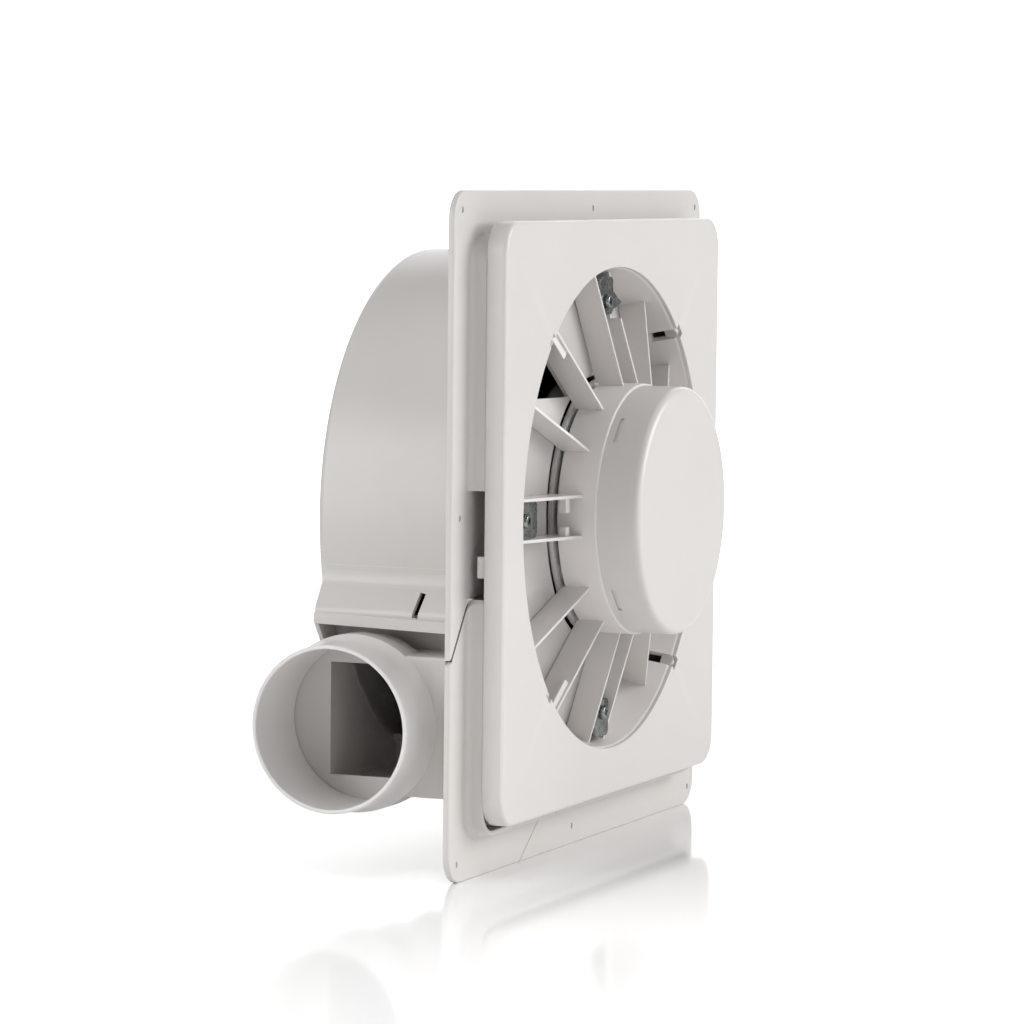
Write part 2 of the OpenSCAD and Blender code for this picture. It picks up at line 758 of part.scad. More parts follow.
module cover_catches() color("#cfcbc6") on_axis() diagonals() {
    block([opening_r - catch_play, opening_r - catch_play + catch_t],
        [-catch_w / 2, catch_w / 2], [2 * catch_slot, plate_inner - catch_drop]);
    translate([opening_r - catch_play, 0, plate_inner - catch_drop]) rotate([0, 90, 0])
        cylinder(r = catch_w / 2, h = catch_t);
}

// Outline of a rib seen from its side: distance from the axis against height
module rib_outline() polygon([
    [rib_inner_u, rib_front(rib_inner_u) - rib_depth],
    [rib_outer_u, rib_front(rib_outer_u) - rib_depth],
    [rib_outer_u, rib_front(rib_outer_u)],
    [rib_inner_u, rib_front(rib_inner_u)]
]);

module rib() translate([0, rib_t / 2, 0]) rotate([90, 0, 0])
    linear_extrude(rib_t) rib_outline();

// Small step on a rib's side; y is the far side of the step, seen along the rib
module rib_step(y) translate([0, y, 0]) rotate([90, 0, 0]) linear_extrude(step_w) polygon([
    [step_u, rib_front(step_u) - step_drop - step_t],
    [rib_outer_u, rib_front(rib_outer_u) - step_drop - step_t],
    [rib_outer_u, rib_front(rib_outer_u) - step_drop],
    [step_u, rib_front(step_u) - step_drop]
]);

module inlet_ribs() color("#e0ddd9") on_axis() difference() {
    intersection() {
        union() {
            channels() {
                translate([0, rib_mid, 0]) rib();
                translate([0, -rib_mid, 0]) rib();
                rotate([0, 0, 45 + rib_turn - rib_spread]) rib();
                rotate([0, 0, 45 + rib_turn + rib_spread]) rib();
            }
            rotate([0, 0, 135 + rib_turn - rib_spread]) rib_step(rib_t / 2 + step_w);
            rotate([0, 0, 225 + rib_turn + rib_spread]) rib_step(-rib_t / 2);
        }
        union() {
            translate([0, 0, throat_h])
                cylinder(r1 = throat_r, r2 = wall_top_r, h = plate_inner - throat_h);
            rod(throat_r - ring_round_r, plate_inner - past, plate_front + rib_rise);
        }
    }
    rod(bowl_r, neck_end, plate_front + rib_rise);
    block([0, channel_half + rib_t + past], rib_notch,
        [claw_level - seam_gap, plate_front]);
}

module rib_hooks() color("#e6e3df") on_axis() for (a = [0, 180]) rotate([0, 0, a]) {
    block([hook_r, hook_r + hook_w], [channel_half / 2, channel_half], hook_h);
    block([hook_r, hook_r + hook_w], [-channel_half, -channel_half / 4], hook_h);
}

// Section of the inlet ring: distance from the axis against height
module ring_section() polygon(concat(
    [[ring_round_at - ring_round_r, ring_lip_end]],
    [for (a = ring_arc) ring_point(a, ring_round_r)],
    [[throat_r, throat_h], [throat_r, neck_end]],
    [for (k = [len(ring_arc) - 1 : -1 : 0]) ring_point(ring_arc[k], ring_inner_round_r)],
    [[ring_round_at - ring_inner_round_r, ring_lip_end]]
));

module inlet_ring() color("#d3cfca") on_axis() difference() {
    union() {
        rotate_extrude() ring_section();
        channels() translate([clamp_r, 0, 0]) rod(clamp_boss_r, clamp_boss_back, claw_level);
    }
    channels() translate([clamp_r, 0, 0])
        rod(clamp_screw_r + screw_clearance, 0, plate_front);
    intersection() {
        tube(window_outer_r, window_inner_r, neck_end, plate_front);
        for (a = window_turns) rotate([0, 0, a]) window_wedge();
        block([-drum_r, drum_r], [window_edge, drum_r], [neck_end, plate_front]);
    }
}

// The sector between two single ribs
module window_wedge() translate([0, 0, neck_end]) linear_extrude(plate_front - neck_end)
    polygon([
        [0, 0],
        [drum_r, -drum_r * tan(rib_spread - window_margin)],
        [drum_r, drum_r * tan(rib_spread - window_margin)]
    ]);

module claw(ear) difference() {
    union() {
        translate([clamp_r + claw_shift, 0, claw_level]) linear_extrude(claw_t)
            rounded_rectangle(claw_len, 2 * claw_half, claw_corner_r);
        if (ear) translate([0, 0, claw_level]) linear_extrude(claw_t) polygon([
            [clamp_r - 5, -claw_half / 2],
            [clamp_r + 7, -claw_half / 2],
            [clamp_r - 1, -channel_half - rib_t - ear_reach]
        ]);
    }
    translate([clamp_r, 0, 0]) rod(clamp_screw_r + screw_clearance, 0, plate_front);
}

module clamp_claws() color("#b9bfba") on_axis() {
    rotate([0, 0, 90]) claw(true);
    for (a = [0, 180, 270]) rotate([0, 0, a]) claw(false);
}

module clamp_screws() color("#a9aeab") on_axis() channels() translate([clamp_r, 0, 0]) {
    translate([0, 0, claw_front]) cross_head(clamp_head_r, clamp_head_h);
    rod(clamp_screw_r, end_gap, claw_front);
}

module plate_screw_places() on_axis() for (a = [90, 210, 330])
    rotate([0, 0, a]) translate([plate_screw_at, 0, 0]) children();

module motor_bowl() color("#dad6d1") difference() {
    union() {
        on_axis() {
            tube(bowl_r, bowl_inner_r, bowl_rear, bowl_front);
            rod(bowl_inner_r + past / 2, bowl_rear, bowl_floor);
            diagonals() translate([board_boss_at, 0, 0])
                rod(board_boss_r, bowl_rear, board_front);
        }
        plate_screw_places() rod(plate_pad_r, motor_plate_front, bowl_rear + past);
    }
    on_axis() {
        rod(floor_hole_r, bowl_rear - past, bowl_floor + past);
        snap_places() block([bowl_inner_r - past, bowl_r + past], [-snap_w / 2, snap_w / 2],
            [bowl_front - snap_deep, bowl_front + past]);
    }
    plate_screw_places() rod(case_screw_r + screw_clearance, motor_plate_front - past,
        bowl_floor + past);
}

module snap_places() for (a = snap_turns) rotate([0, 0, a]) children();

module hub_cap() color("#dcd9d5") on_axis() {
    difference() {
        union() {
            rod(cap_r, bowl_front, cap_front - cap_edge_r);
            rod(cap_r - cap_edge_r, bowl_front, cap_front);
            translate([0, 0, cap_front - cap_edge_r]) rotate_extrude()
                translate([cap_r - cap_edge_r, 0]) circle(cap_edge_r);
        }
        rod(cap_inner_r, bowl_front - past, cap_front - bowl_wall);
    }
    tube(bowl_inner_r - plug_clearance, cap_inner_r - skirt_t, bowl_front - skirt_h,
        bowl_front + skirt_h / 2);
    snap_places() block([bowl_inner_r - snap_t, bowl_inner_r + snap_t],
        [1 - snap_w / 2, snap_w / 2 - 1], [bowl_front - snap_deep + snap_play,
        bowl_front - snap_play]);
}

module motor_plate() color("#c6c9ca") difference() {
    on_axis() union() {
        rod(motor_plate_r, motor_plate_back, motor_plate_front);
        rod(bearing_r + 3, front_bearing_back, motor_plate_back);
    }
    on_axis() rod(bearing_r, front_bearing_back - past, motor_plate_front + past);
    plate_screw_places() rod(case_screw_r + bite_clearance, motor_plate_back - past,
        motor_plate_front + past);
}

module plate_screws() color("#b9bcbe") plate_screw_places()
    case_screw(bowl_floor, motor_plate_back);

module motor_case() color("#b4b7b9") on_axis() difference() {
    union() {
        tube(motor_r, motor_inner_r, -motor_rear, motor_plate_back);
        rod(motor_inner_r + past / 2, -motor_rear, motor_wall - motor_rear);
        rod(bearing_r + 3, -motor_rear, rear_bearing_front);
    }
    rod(bearing_r, -motor_rear - past, rear_bearing_front + past);
}

module stator_core() color("#7f8488") on_axis()
    tube(motor_inner_r, rotor_r + air_gap, core_back, core_front);

module stator_winding() color("#b06a34") on_axis()
    for (z = [core_front + winding_h / 2, core_back - winding_h / 2])
        translate([0, 0, z]) rotate_extrude() translate([(rotor_r + motor_inner_r) / 2, 0]) {
            square([winding_w - winding_h, winding_h], center = true);
            for (s = [-1, 1]) translate([s * (winding_w - winding_h) / 2, 0])
                circle(winding_h / 2);
        }

module front_bearing() color("#c3c6c8") on_axis()
    tube(bearing_r, shaft_r + shaft_clearance, front_bearing_back, motor_plate_front);

module rear_bearing() color("#c3c6c8") on_axis()
    tube(bearing_r, shaft_r + shaft_clearance, -motor_rear, rear_bearing_front);

module control_board() color("#3f6b4a") on_axis()
    rod(board_r, board_front, board_front + board_t);

module capacitor() color("#33363a") on_axis() translate([0, capacitor_lift, 0])
    rod(capacitor_r, board_front + board_t, board_front + board_t + capacitor_h);

module motor_shaft() color("#c2c5c7") on_axis() rod(shaft_r, shaft_back, shaft_front);

module rotor_core() color("#8b9094") on_axis() tube(rotor_r, shaft_r, core_back, core_front);

module wheel_bush() color("#2a2c2e") on_axis() tube(bush_r, shaft_r, -wheel_rear, bush_front);

module wheel_disc() color("#232527") on_axis() {
    tube(wheel_r, bush_r, -wheel_rear, wheel_t - wheel_rear);
    tube(blade_inner_r - 6, blade_inner_r - 6 - wheel_t, wheel_t - wheel_rear,
        4 * wheel_t - wheel_rear);
}

module wheel_blades() color("#26282a") on_axis() for (k = [0 : blade_count - 1])
    rotate([0, 0, k * 360 / blade_count])
        translate([blade_inner_r + 7, blade_curve_r - 1, wheel_t - wheel_rear])
            rotate([0, 0, -112.5]) rotate_extrude(angle = 78)
                translate([blade_curve_r - blade_t / 2, 0])
                    square([blade_t, wheel_rear - wheel_front - 2 * wheel_t]);

module wheel_rim() color("#232527") on_axis()
    tube(wheel_r, blade_inner_r, -wheel_front - wheel_t, -wheel_front);

module wheel_nut() color("#b5b8ba") on_axis() difference() {
    translate([0, 0, -wheel_rear - nut_h]) cylinder(r = 2 * shaft_r, h = nut_h, $fn = 6);
    rod(shaft_r, -wheel_rear - nut_h - past, past - wheel_rear);
}

upright() wall_frame();
upright() fan_drum();
upright() drum_screws();
upright() corner_outlet();
upright() outlet_screw();
upright() duct_spigot();
upright() junction_box();
upright() terminal_block();
upright() terminal_screws();
upright() cable_gland();
upright() front_plate();
upright() opening_wall();
upright() inlet_ribs();
upright() rib_hooks();
upright() cover_catches();
upright() inlet_ring();
upright() clamp_claws();
upright() clamp_screws();
upright() motor_bowl();
upright() hub_cap();
upright() motor_plate();
upright() plate_screws();
upright() motor_case();
upright() stator_core();
upright() stator_winding();
upright() front_bearing();
upright() rear_bearing();
upright() control_board();
upright() capacitor();
upright() motor_shaft();
upright() rotor_core();
upright() wheel_bush();
upright() wheel_disc();
upright() wheel_blades();
upright() wheel_rim();
upright() wheel_nut();
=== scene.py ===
import math
import bpy
import bmesh
from mathutils import Matrix, Vector


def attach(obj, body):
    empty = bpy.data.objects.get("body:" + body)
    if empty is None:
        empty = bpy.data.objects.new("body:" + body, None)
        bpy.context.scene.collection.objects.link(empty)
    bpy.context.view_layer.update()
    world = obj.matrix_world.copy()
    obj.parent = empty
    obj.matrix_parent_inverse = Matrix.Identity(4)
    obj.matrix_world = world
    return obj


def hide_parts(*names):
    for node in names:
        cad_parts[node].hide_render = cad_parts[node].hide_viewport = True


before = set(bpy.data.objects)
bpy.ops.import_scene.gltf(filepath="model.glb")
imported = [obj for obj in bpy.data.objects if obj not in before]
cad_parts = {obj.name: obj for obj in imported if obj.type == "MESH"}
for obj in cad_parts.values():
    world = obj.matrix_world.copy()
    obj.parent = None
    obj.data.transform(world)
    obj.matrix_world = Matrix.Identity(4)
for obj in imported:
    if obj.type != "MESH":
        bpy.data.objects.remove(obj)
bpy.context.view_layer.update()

# The camera stands where the photograph was taken from
LENS, SENSOR_WIDTH, FAR_CLIP = 160.2, 36.0, 50.0
CAMERA_PLACE = (-1.9695, -0.7938, 0.1616)
CAMERA_LOOK = (0.91952, 0.38584, -0.07495)
CAMERA_UP = (0.06503, 0.03872, 0.99713)
camera_data = bpy.data.cameras.new("camera")
camera_data.lens = LENS
camera_data.sensor_fit = "HORIZONTAL"
camera_data.sensor_width = SENSOR_WIDTH
camera_data.clip_end = FAR_CLIP
camera = bpy.data.objects.new("camera", camera_data)
bpy.context.scene.collection.objects.link(camera)
look = Vector(CAMERA_LOOK).normalized()
side = look.cross(Vector(CAMERA_UP)).normalized()
up = side.cross(look)
camera.matrix_world = (Matrix.Translation(CAMERA_PLACE)
                       @ Matrix((side, up, -look)).transposed().to_4x4())
bpy.context.scene.camera = camera

# Pieces are drawn in millimetres as the part is: x right, y up, z towards the room
PLACE = Matrix.Rotation(math.radians(90), 4, "X") @ Matrix.Scale(0.001, 4)
AXIS_Y = 5.0
AXIS = Matrix.Translation((0, AXIS_Y, 0))
SPIGOT = (Matrix.Translation((-134, -85.5, -52))
          @ Matrix.Rotation(math.radians(-90), 4, "Y"))
ON_EDGE = Matrix.Rotation(math.radians(90), 4, "X")

# How finely round shapes are drawn
SIDE_STEPS, CORNER_STEPS, TURN_STEPS, SMALL_STEPS = 48, 16, 256, 48
SHARP_ANGLE = 28

# Where things stand round the fan axis, in degrees
QUARTERS = (0, 90, 180, 270)
CATCH_TURNS = (45, 135, 225, 315)
SNAP_TURNS = (40, 140, 220, 320)


# Places and outlines
def turn(degrees):
    return Matrix.Rotation(math.radians(degrees), 4, "Z")


def around(degrees, radius=0.0):
    """A place at this angle and distance from the fan axis, turned with it."""
    return AXIS @ turn(degrees) @ Matrix.Translation((radius, 0, 0))


def centred(size):
    return (-size / 2, size / 2)


def inset(span, depth):
    return (span[0] + depth, span[1] - depth)


def radial(r, degrees):
    return (r * math.cos(math.radians(degrees)), r * math.sin(math.radians(degrees)))


def arc(cx, cy, radius, first, last, steps):
    return [(cx + radius * math.cos(math.radians(first + (last - first) * k / steps)),
             cy + radius * math.sin(math.radians(first + (last - first) * k / steps)))
            for k in range(steps + 1)]


def soften(points, closed=True):
    """Rounds each corner (a, b, radius) of an outline with a short arc."""
    out = []
    count = len(points)
    for k, point in enumerate(points):
        radius = point[2] if len(point) > 2 else 0
        here = Vector(point[:2])
        if radius <= 0 or (not closed and k in (0, count - 1)):
            out.append((here.x, here.y))
            continue
        back = (Vector(points[k - 1][:2]) - here).normalized()
        on = (Vector(points[(k + 1) % count][:2]) - here).normalized()
        half = back.angle(on) / 2
        centre = here + (back + on).normalized() * radius / math.sin(half)
        start = here + back * radius / math.tan(half) - centre
        end = here + on * radius / math.tan(half) - centre
        first = math.atan2(start.y, start.x)
        sweep = (math.atan2(end.y, end.x) - first + math.pi) % (2 * math.pi) - math.pi
        steps = max(4, math.ceil(abs(sweep) / math.radians(11)))
        for j in range(steps + 1):
            a = first + sweep * j / steps
            out.append((centre.x + radius * math.cos(a), centre.y + radius * math.sin(a)))
    return out


def edge_profile(points):
    """The middle of an open profile whose two ends only say where it comes from and goes."""
    return soften(points, closed=False)[1:-1]


# Solids
def add_object(name, data):
    obj = bpy.data.objects.new(name, data)
    bpy.context.scene.collection.objects.link(obj)
    return obj


def from_bmesh(name, bm, matrix=None):
    bmesh.ops.recalc_face_normals(bm, faces=bm.faces)
    if matrix is not None:
        bmesh.ops.transform(bm, matrix=matrix, verts=bm.verts)
    mesh = bpy.data.meshes.new(name)
    bm.to_mesh(mesh)
    bm.free()
    return add_object(name, mesh)


def loops_to_object(name, loops, closed=True, matrix=None):
    """Joins each loop of points to the next; a loop of one point is a pole."""
    bm = bmesh.new()
    rows = [[bm.verts.new(p) for p in loop] for loop in loops]
    pairs = list(zip(rows, rows[1:])) + ([(rows[-1], rows[0])] if closed else [])
    for a, b in pairs:
        count = max(len(a), len(b))
        for k in range(count):
            m = (k + 1) % count
            corners = []
            for v in (a[k % len(a)], a[m % len(a)], b[m % len(b)], b[k % len(b)]):
                if v not in corners:
                    corners.append(v)
            bm.faces.new(corners)
    return from_bmesh(name, bm, matrix)


def lathe(name, profile, matrix=AXIS, steps=TURN_STEPS, closed=True):
    loops = []
    for r, z in profile:
        if r < 1e-6:
            loops.append([(0, 0, z)])
            continue
        loops.append([(r * math.cos(2 * math.pi * k / steps),
                       r * math.sin(2 * math.pi * k / steps), z) for k in range(steps)])
    return loops_to_object(name, loops, closed, matrix)


def rod(name, r, z0, z1, edge=0.0, matrix=AXIS, steps=SMALL_STEPS):
    profile = soften([(0, z0), (r, z0, edge), (r, z1, edge), (0, z1)], closed=False)
    return lathe(name, profile, matrix, steps, closed=False)


def square_loop(half, centre, z, shift=0.0):
    """A rounded square; the corner arcs' centres lie this far from the middle."""
    radius = half - centre
    points = []
    for q in range(4):
        c, s = math.cos(math.pi / 2 * q), math.sin(math.pi / 2 * q)
        row = [(half, -centre + 2 * centre * k / SIDE_STEPS) for k in range(SIDE_STEPS)]
        row += arc(centre, centre, radius, 0, 90, CORNER_STEPS)[:-1]
        points += [(x * c - y * s, x * s + y * c + shift, z) for x, y in row]
    return points


def circle_loop(radius, z, like):
    """A circle round the fan axis with its points in line with those of another loop."""
    points = []
    for x, y, _ in like:
        a = math.atan2(y - AXIS_Y, x)
        points.append((radius * math.cos(a), AXIS_Y + radius * math.sin(a), z))
    return points


def prism(name, outline, z0, z1, matrix=None, edge=0.0):
    bm = bmesh.new()
    low = [bm.verts.new((x, y, z0)) for x, y in outline]
    high = [bm.verts.new((x, y, z1)) for x, y in outline]
    ends = [bm.faces.new(low), bm.faces.new(high)]
    for k in range(len(outline)):
        m = (k + 1) % len(outline)
        bm.faces.new((low[k], low[m], high[m], high[k]))
    if edge > 0:
        bmesh.ops.bevel(bm, geom=[e for face in ends for e in face.edges], offset=edge,
                        segments=3, profile=0.5, affect="EDGES")
    return from_bmesh(name, bm, matrix)


def block(name, x, y, z, edge=0.0, matrix=None):
    bm = bmesh.new()
    bmesh.ops.create_cube(bm, size=1)
    for v in bm.verts:
        v.co = Vector((x[0] if v.co.x < 0 else x[1], y[0] if v.co.y < 0 else y[1],
                       z[0] if v.co.z < 0 else z[1]))
    if edge > 0:
        bmesh.ops.bevel(bm, geom=bm.edges[:], offset=edge, segments=4, profile=0.5,
                        affect="EDGES", clamp_overlap=True)
    return from_bmesh(name, bm, matrix)


def evaluated_mesh(obj):
    bpy.context.view_layer.update()
    graph = bpy.context.evaluated_depsgraph_get()
    return bpy.data.meshes.new_from_object(obj.evaluated_get(graph))


def plate(name, outlines, z0, z1, edge, matrix=None):
    """A flat sheet with holes and softly rounded edges, from closed outlines."""
    curve = bpy.data.curves.new(name, "CURVE")
    curve.dimensions = "2D"
    curve.fill_mode = "BOTH"
    for outline in outlines:
        spline = curve.splines.new("POLY")
        spline.points.add(len(outline) - 1)
        for point, (x, y) in zip(spline.points, outline):
            point.co = (x, y, 0, 1)
        spline.use_cyclic_u = True
    curve.extrude = (z1 - z0) / 2 - edge
    curve.bevel_depth = edge
    curve.bevel_resolution = 2
    curve.offset = -edge
    shape = add_object(name, curve)
    mesh = evaluated_mesh(shape)
    bpy.data.objects.remove(shape)
    bpy.data.curves.remove(curve)
    bm = bmesh.new()
    bm.from_mesh(mesh)
    bpy.data.meshes.remove(mesh)
    bmesh.ops.remove_doubles(bm, verts=bm.verts, dist=0.001)
    bmesh.ops.transform(bm, matrix=Matrix.Translation((0, 0, (z0 + z1) / 2)), verts=bm.verts)
    return from_bmesh(name, bm, matrix)


def apply_modifiers(obj):
    mesh = evaluated_mesh(obj)
    old = obj.data
    obj.modifiers.clear()
    obj.data = mesh
    bpy.data.meshes.remove(old)


def discard(obj):
    mesh = obj.data
    bpy.data.objects.remove(obj)
    bpy.data.meshes.remove(mesh)


def combine(obj, operation, *tools):
    for tool in tools:
        modifier = obj.modifiers.new("combine", "BOOLEAN")
        modifier.operation = operation
        modifier.solver = "EXACT"
        modifier.object = tool
    apply_modifiers(obj)
    for tool in tools:
        discard(tool)
    return obj


def cut(obj, *tools):
    return combine(obj, "DIFFERENCE", *tools)


def add(obj, *tools):
    return combine(obj, "UNION", *tools)


def joined(name, parts):
    """Puts closed shells that overlap or touch into one mesh."""
    bm = bmesh.new()
    for part in parts:
        bm.from_mesh(part.data)
        discard(part)
    mesh = bpy.data.meshes.new(name)
    bm.to_mesh(mesh)
    bm.free()
    return add_object(name, mesh)


def dress(obj, name, material, nodes):
    """Turns a piece of the housing into place, smooths it, gives it its material, attaches it to
    the housing body and hides the nodes it replaces.
    """
    obj.name = name
    obj.data.name = name
    obj.data.transform(PLACE)
    for face in obj.data.polygons:
        face.use_smooth = True
    obj.data.set_sharp_from_angle(angle=math.radians(SHARP_ANGLE))
    modifier = obj.modifiers.new("even", "WEIGHTED_NORMAL")
    modifier.keep_sharp = True
    modifier.weight = 80
    apply_modifiers(obj)
    obj.data.materials.clear()
    obj.data.materials.append(material)
    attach(obj, "housing")
    if nodes:
        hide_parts(*nodes)
    return obj


# Material nodes
def object_space(tree):
    return tree.nodes.new("ShaderNodeTexCoord").outputs["Object"]


def noise(tree, scale, detail, rough, distortion=0.0, stretch=None):
    texture = tree.nodes.new("ShaderNodeTexNoise")
    texture.inputs["Scale"].default_value = scale
    texture.inputs["Detail"].default_value = detail
    texture.inputs["Roughness"].default_value = rough
    texture.inputs["Distortion"].default_value = distortion
    place = object_space(tree)
    if stretch is not None:
        mapping = tree.nodes.new("ShaderNodeMapping")
        mapping.inputs["Scale"].default_value = stretch
        tree.links.new(place, mapping.inputs["Vector"])
        place = mapping.outputs["Vector"]
    tree.links.new(place, texture.inputs["Vector"])
    return texture.outputs["Fac"]


def waves(tree, kind, scale, distortion):
    """Rings round the fan axis, or bands square to it."""
    texture = tree.nodes.new("ShaderNodeTexWave")
    texture.wave_type = kind
    texture.rings_direction = "Y"
    texture.bands_direction = "Y"
    texture.inputs["Scale"].default_value = scale
    texture.inputs["Distortion"].default_value = distortion
    texture.inputs["Detail"].default_value = 2
    tree.links.new(object_space(tree), texture.inputs["Vector"])
    return texture.outputs["Fac"]


def ranged(tree, value, low, high, to_low, to_high):
    node = tree.nodes.new("ShaderNodeMapRange")
    node.inputs["From Min"].default_value = low
    node.inputs["From Max"].default_value = high
    node.inputs["To Min"].default_value = to_low
    node.inputs["To Max"].default_value = to_high
    tree.links.new(value, node.inputs["Value"])
    return node.outputs["Result"]


def clouds(tree, scale, detail, rough, distortion=0.0):
    """Noise spread out to the full range from 0 to 1."""
    return ranged(tree, noise(tree, scale, detail, rough, distortion), 0.35, 0.65, 0, 1)


def mixed(tree, factor, one, two):
    node = tree.nodes.new("ShaderNodeMix")
    node.data_type = "RGBA"
    tree.links.new(factor, node.inputs["Factor"])
    for socket, value in ((node.inputs["A"], one), (node.inputs["B"], two)):
        if hasattr(value, "default_value"):
            tree.links.new(value, socket)
        else:
            socket.default_value = (*value, 1)
    return node.outputs["Result"]


def coloured(tree, shader, tone):
    tree.links.new(tone, shader.inputs["Base Color"])


def roughened(tree, shader, value, low, high):
    tree.links.new(ranged(tree, value, 0.3, 0.7, low, high), shader.inputs["Roughness"])


def bumped(tree, shader, height, strength, distance, under=None):
    node = tree.nodes.new("ShaderNodeBump")
    node.inputs["Strength"].default_value = strength
    node.inputs["Distance"].default_value = distance
    tree.links.new(height, node.inputs["Height"])
    if under is not None:
        tree.links.new(under, node.inputs["Normal"])
    tree.links.new(node.outputs["Normal"], shader.inputs["Normal"])
    return node.outputs["Normal"]


def begin(name, metallic=0.0, ior=1.5):
    material = bpy.data.materials.new(name)
    material.use_nodes = True
    shader = material.node_tree.nodes["Principled BSDF"]
    shader.inputs["Metallic"].default_value = metallic
    shader.inputs["IOR"].default_value = ior
    return material, material.node_tree, shader


# Kinds of material
FINE_GRAIN = 0.00001


def moulded(name, colour, tint, rough, grain=0.00002, edge_tone=None, ior=1.5):
    """Moulded plastic: cloudy tone, fine spark grain, and sharply convex edges mixed a little
    paler.
    """
    material, tree, shader = begin(name, ior=ior)
    tone = mixed(tree, clouds(tree, 14, 3, 0.55), colour, tint)
    # Sharply convex edges, found by pointiness, are mixed towards a paler tone
    point = tree.nodes.new("ShaderNodeNewGeometry").outputs["Pointiness"]
    edge = ranged(tree, point, 0.53, 0.62, 0, 0.6)
    coloured(tree, shader, mixed(tree, edge, tone,
                                 edge_tone or tuple(min(1, v * 1.12) for v in colour)))
    roughened(tree, shader, noise(tree, 60, 3, 0.55), rough - 0.02, rough + 0.03)
    wave = bumped(tree, shader, noise(tree, 12, 1, 0.5), 0.15, 0.00005)
    bumped(tree, shader, noise(tree, 3200, 2, 0.5), 0.12, grain, wave)
    return material


def plated(name, colour, tint, rough, metallic=1.0):
    """Zinc plated sheet: two tones in clouds, fine spangle and rolling marks."""
    material, tree, shader = begin(name, metallic=metallic)
    coloured(tree, shader, mixed(tree, clouds(tree, 160, 4, 0.6, 0.6), colour, tint))
    spangle = noise(tree, 700, 3, 0.7)
    roughened(tree, shader, spangle, rough - 0.08, rough + 0.12)
    rolled = bumped(tree, shader, noise(tree, 60, 3, 0.6, 0, (1, 1, 40)), 0.3, 0.00003)
    bumped(tree, shader, spangle, 0.3, 0.00002, rolled)
    return material


def turned(name, colour, tint, rough):
    """Turned or ground metal: fine rings round the fan axis."""
    material, tree, shader = begin(name, metallic=1.0)
    coloured(tree, shader, mixed(tree, clouds(tree, 70, 3, 0.55), colour, tint))
    roughened(tree, shader, noise(tree, 400, 3, 0.6), rough - 0.06, rough + 0.1)
    bumped(tree, shader, waves(tree, "RINGS", 900, 1.5), 0.2, 0.00002)
    return material


def layered(name, colour, tint, pitch, metallic, rough):
    """Stacked sheets or wound wire: fine lines square to the fan axis."""
    material, tree, shader = begin(name, metallic=metallic)
    bands = waves(tree, "BANDS", 0.314 / pitch, 0.6)
    coloured(tree, shader, mixed(tree, bands, tint, colour))
    roughened(tree, shader, noise(tree, 300, 3, 0.6), rough - 0.06, rough + 0.08)
    bumped(tree, shader, bands, 0.5, pitch * 0.2)
    return material


def laminate(name):
    """Glass cloth under green lacquer, with the faint lines of its tracks."""
    material, tree, shader = begin(name)
    cloth = tree.nodes.new("ShaderNodeTexBrick")
    cloth.inputs["Scale"].default_value = 160
    cloth.inputs["Color1"].default_value = (0.035, 0.12, 0.06, 1)
    cloth.inputs["Color2"].default_value = (0.03, 0.10, 0.05, 1)
    cloth.inputs["Mortar"].default_value = (0.06, 0.17, 0.09, 1)
    cloth.inputs["Mortar Size"].default_value = 0.03
    tree.links.new(object_space(tree), cloth.inputs["Vector"])
    coloured(tree, shader, cloth.outputs["Color"])
    roughened(tree, shader, noise(tree, 200, 3, 0.5), 0.28, 0.42)
    bumped(tree, shader, cloth.outputs["Fac"], 0.3, 0.00003)
    return material


# Plastics: colour, tint of the clouds, roughness
housing_plastic = moulded("housing_plastic", (0.665, 0.64, 0.62), (0.65, 0.625, 0.6), 0.33)
insert_plastic = moulded("insert_plastic", (0.70, 0.672, 0.655), (0.69, 0.662, 0.645), 0.3,
                         FINE_GRAIN)
catch_plastic = moulded("catch_plastic", (0.50, 0.49, 0.475), (0.48, 0.47, 0.455), 0.3)
box_plastic = moulded("box_plastic", (0.62, 0.60, 0.58), (0.60, 0.58, 0.56), 0.42, 0.00005)
gland_plastic = moulded("gland_plastic", (0.52, 0.51, 0.50), (0.50, 0.49, 0.48), 0.4)
dark_plastic = moulded("dark_plastic", (0.035, 0.037, 0.04), (0.028, 0.03, 0.032), 0.42,
                       edge_tone=(0.07, 0.07, 0.075))
# Black plastic of the fan wheel, set darker and duller than the other black plastic so the drum's
# inside reads as deep shade: partly the wheel's own black, partly painted shade
wheel_plastic = moulded("wheel_plastic", (0.01, 0.0105, 0.011), (0.008, 0.0085, 0.009), 0.6,
                        edge_tone=(0.03, 0.03, 0.032), ior=1.38)
# Darker copy of the insert plastic for the inlet bell: painted shade, for the dim light under the
# front plate's edge
bell_plastic_painted_shade = moulded("bell_plastic_painted_shade", (0.56, 0.538, 0.523), (0.55, 0.528, 0.513), 0.22,
                       FINE_GRAIN)
# Lighter copy of the insert plastic for the motor bowl: painted light, brightening it beyond what
# the lamps give
bowl_plastic_painted_light = moulded("bowl_plastic_painted_light", (0.80, 0.768, 0.748), (0.79, 0.758, 0.738), 0.3,
                       FINE_GRAIN)
# Pale plastic of the spigot, lighter than the housing to brighten the pipe: painted light
spigot_plastic_painted_light = moulded("spigot_plastic_painted_light", (0.80, 0.785, 0.77), (0.785, 0.77, 0.755), 0.33)

# Metals and the board
# The dark tones of these two zincs are partly the plating's own mottling and partly painted
# reflection of dark surroundings
zinc = plated("zinc_plate", (0.36, 0.39, 0.375), (0.15, 0.17, 0.16), 0.24)
screw_zinc = plated("screw_zinc", (0.36, 0.38, 0.37), (0.13, 0.14, 0.14), 0.2)
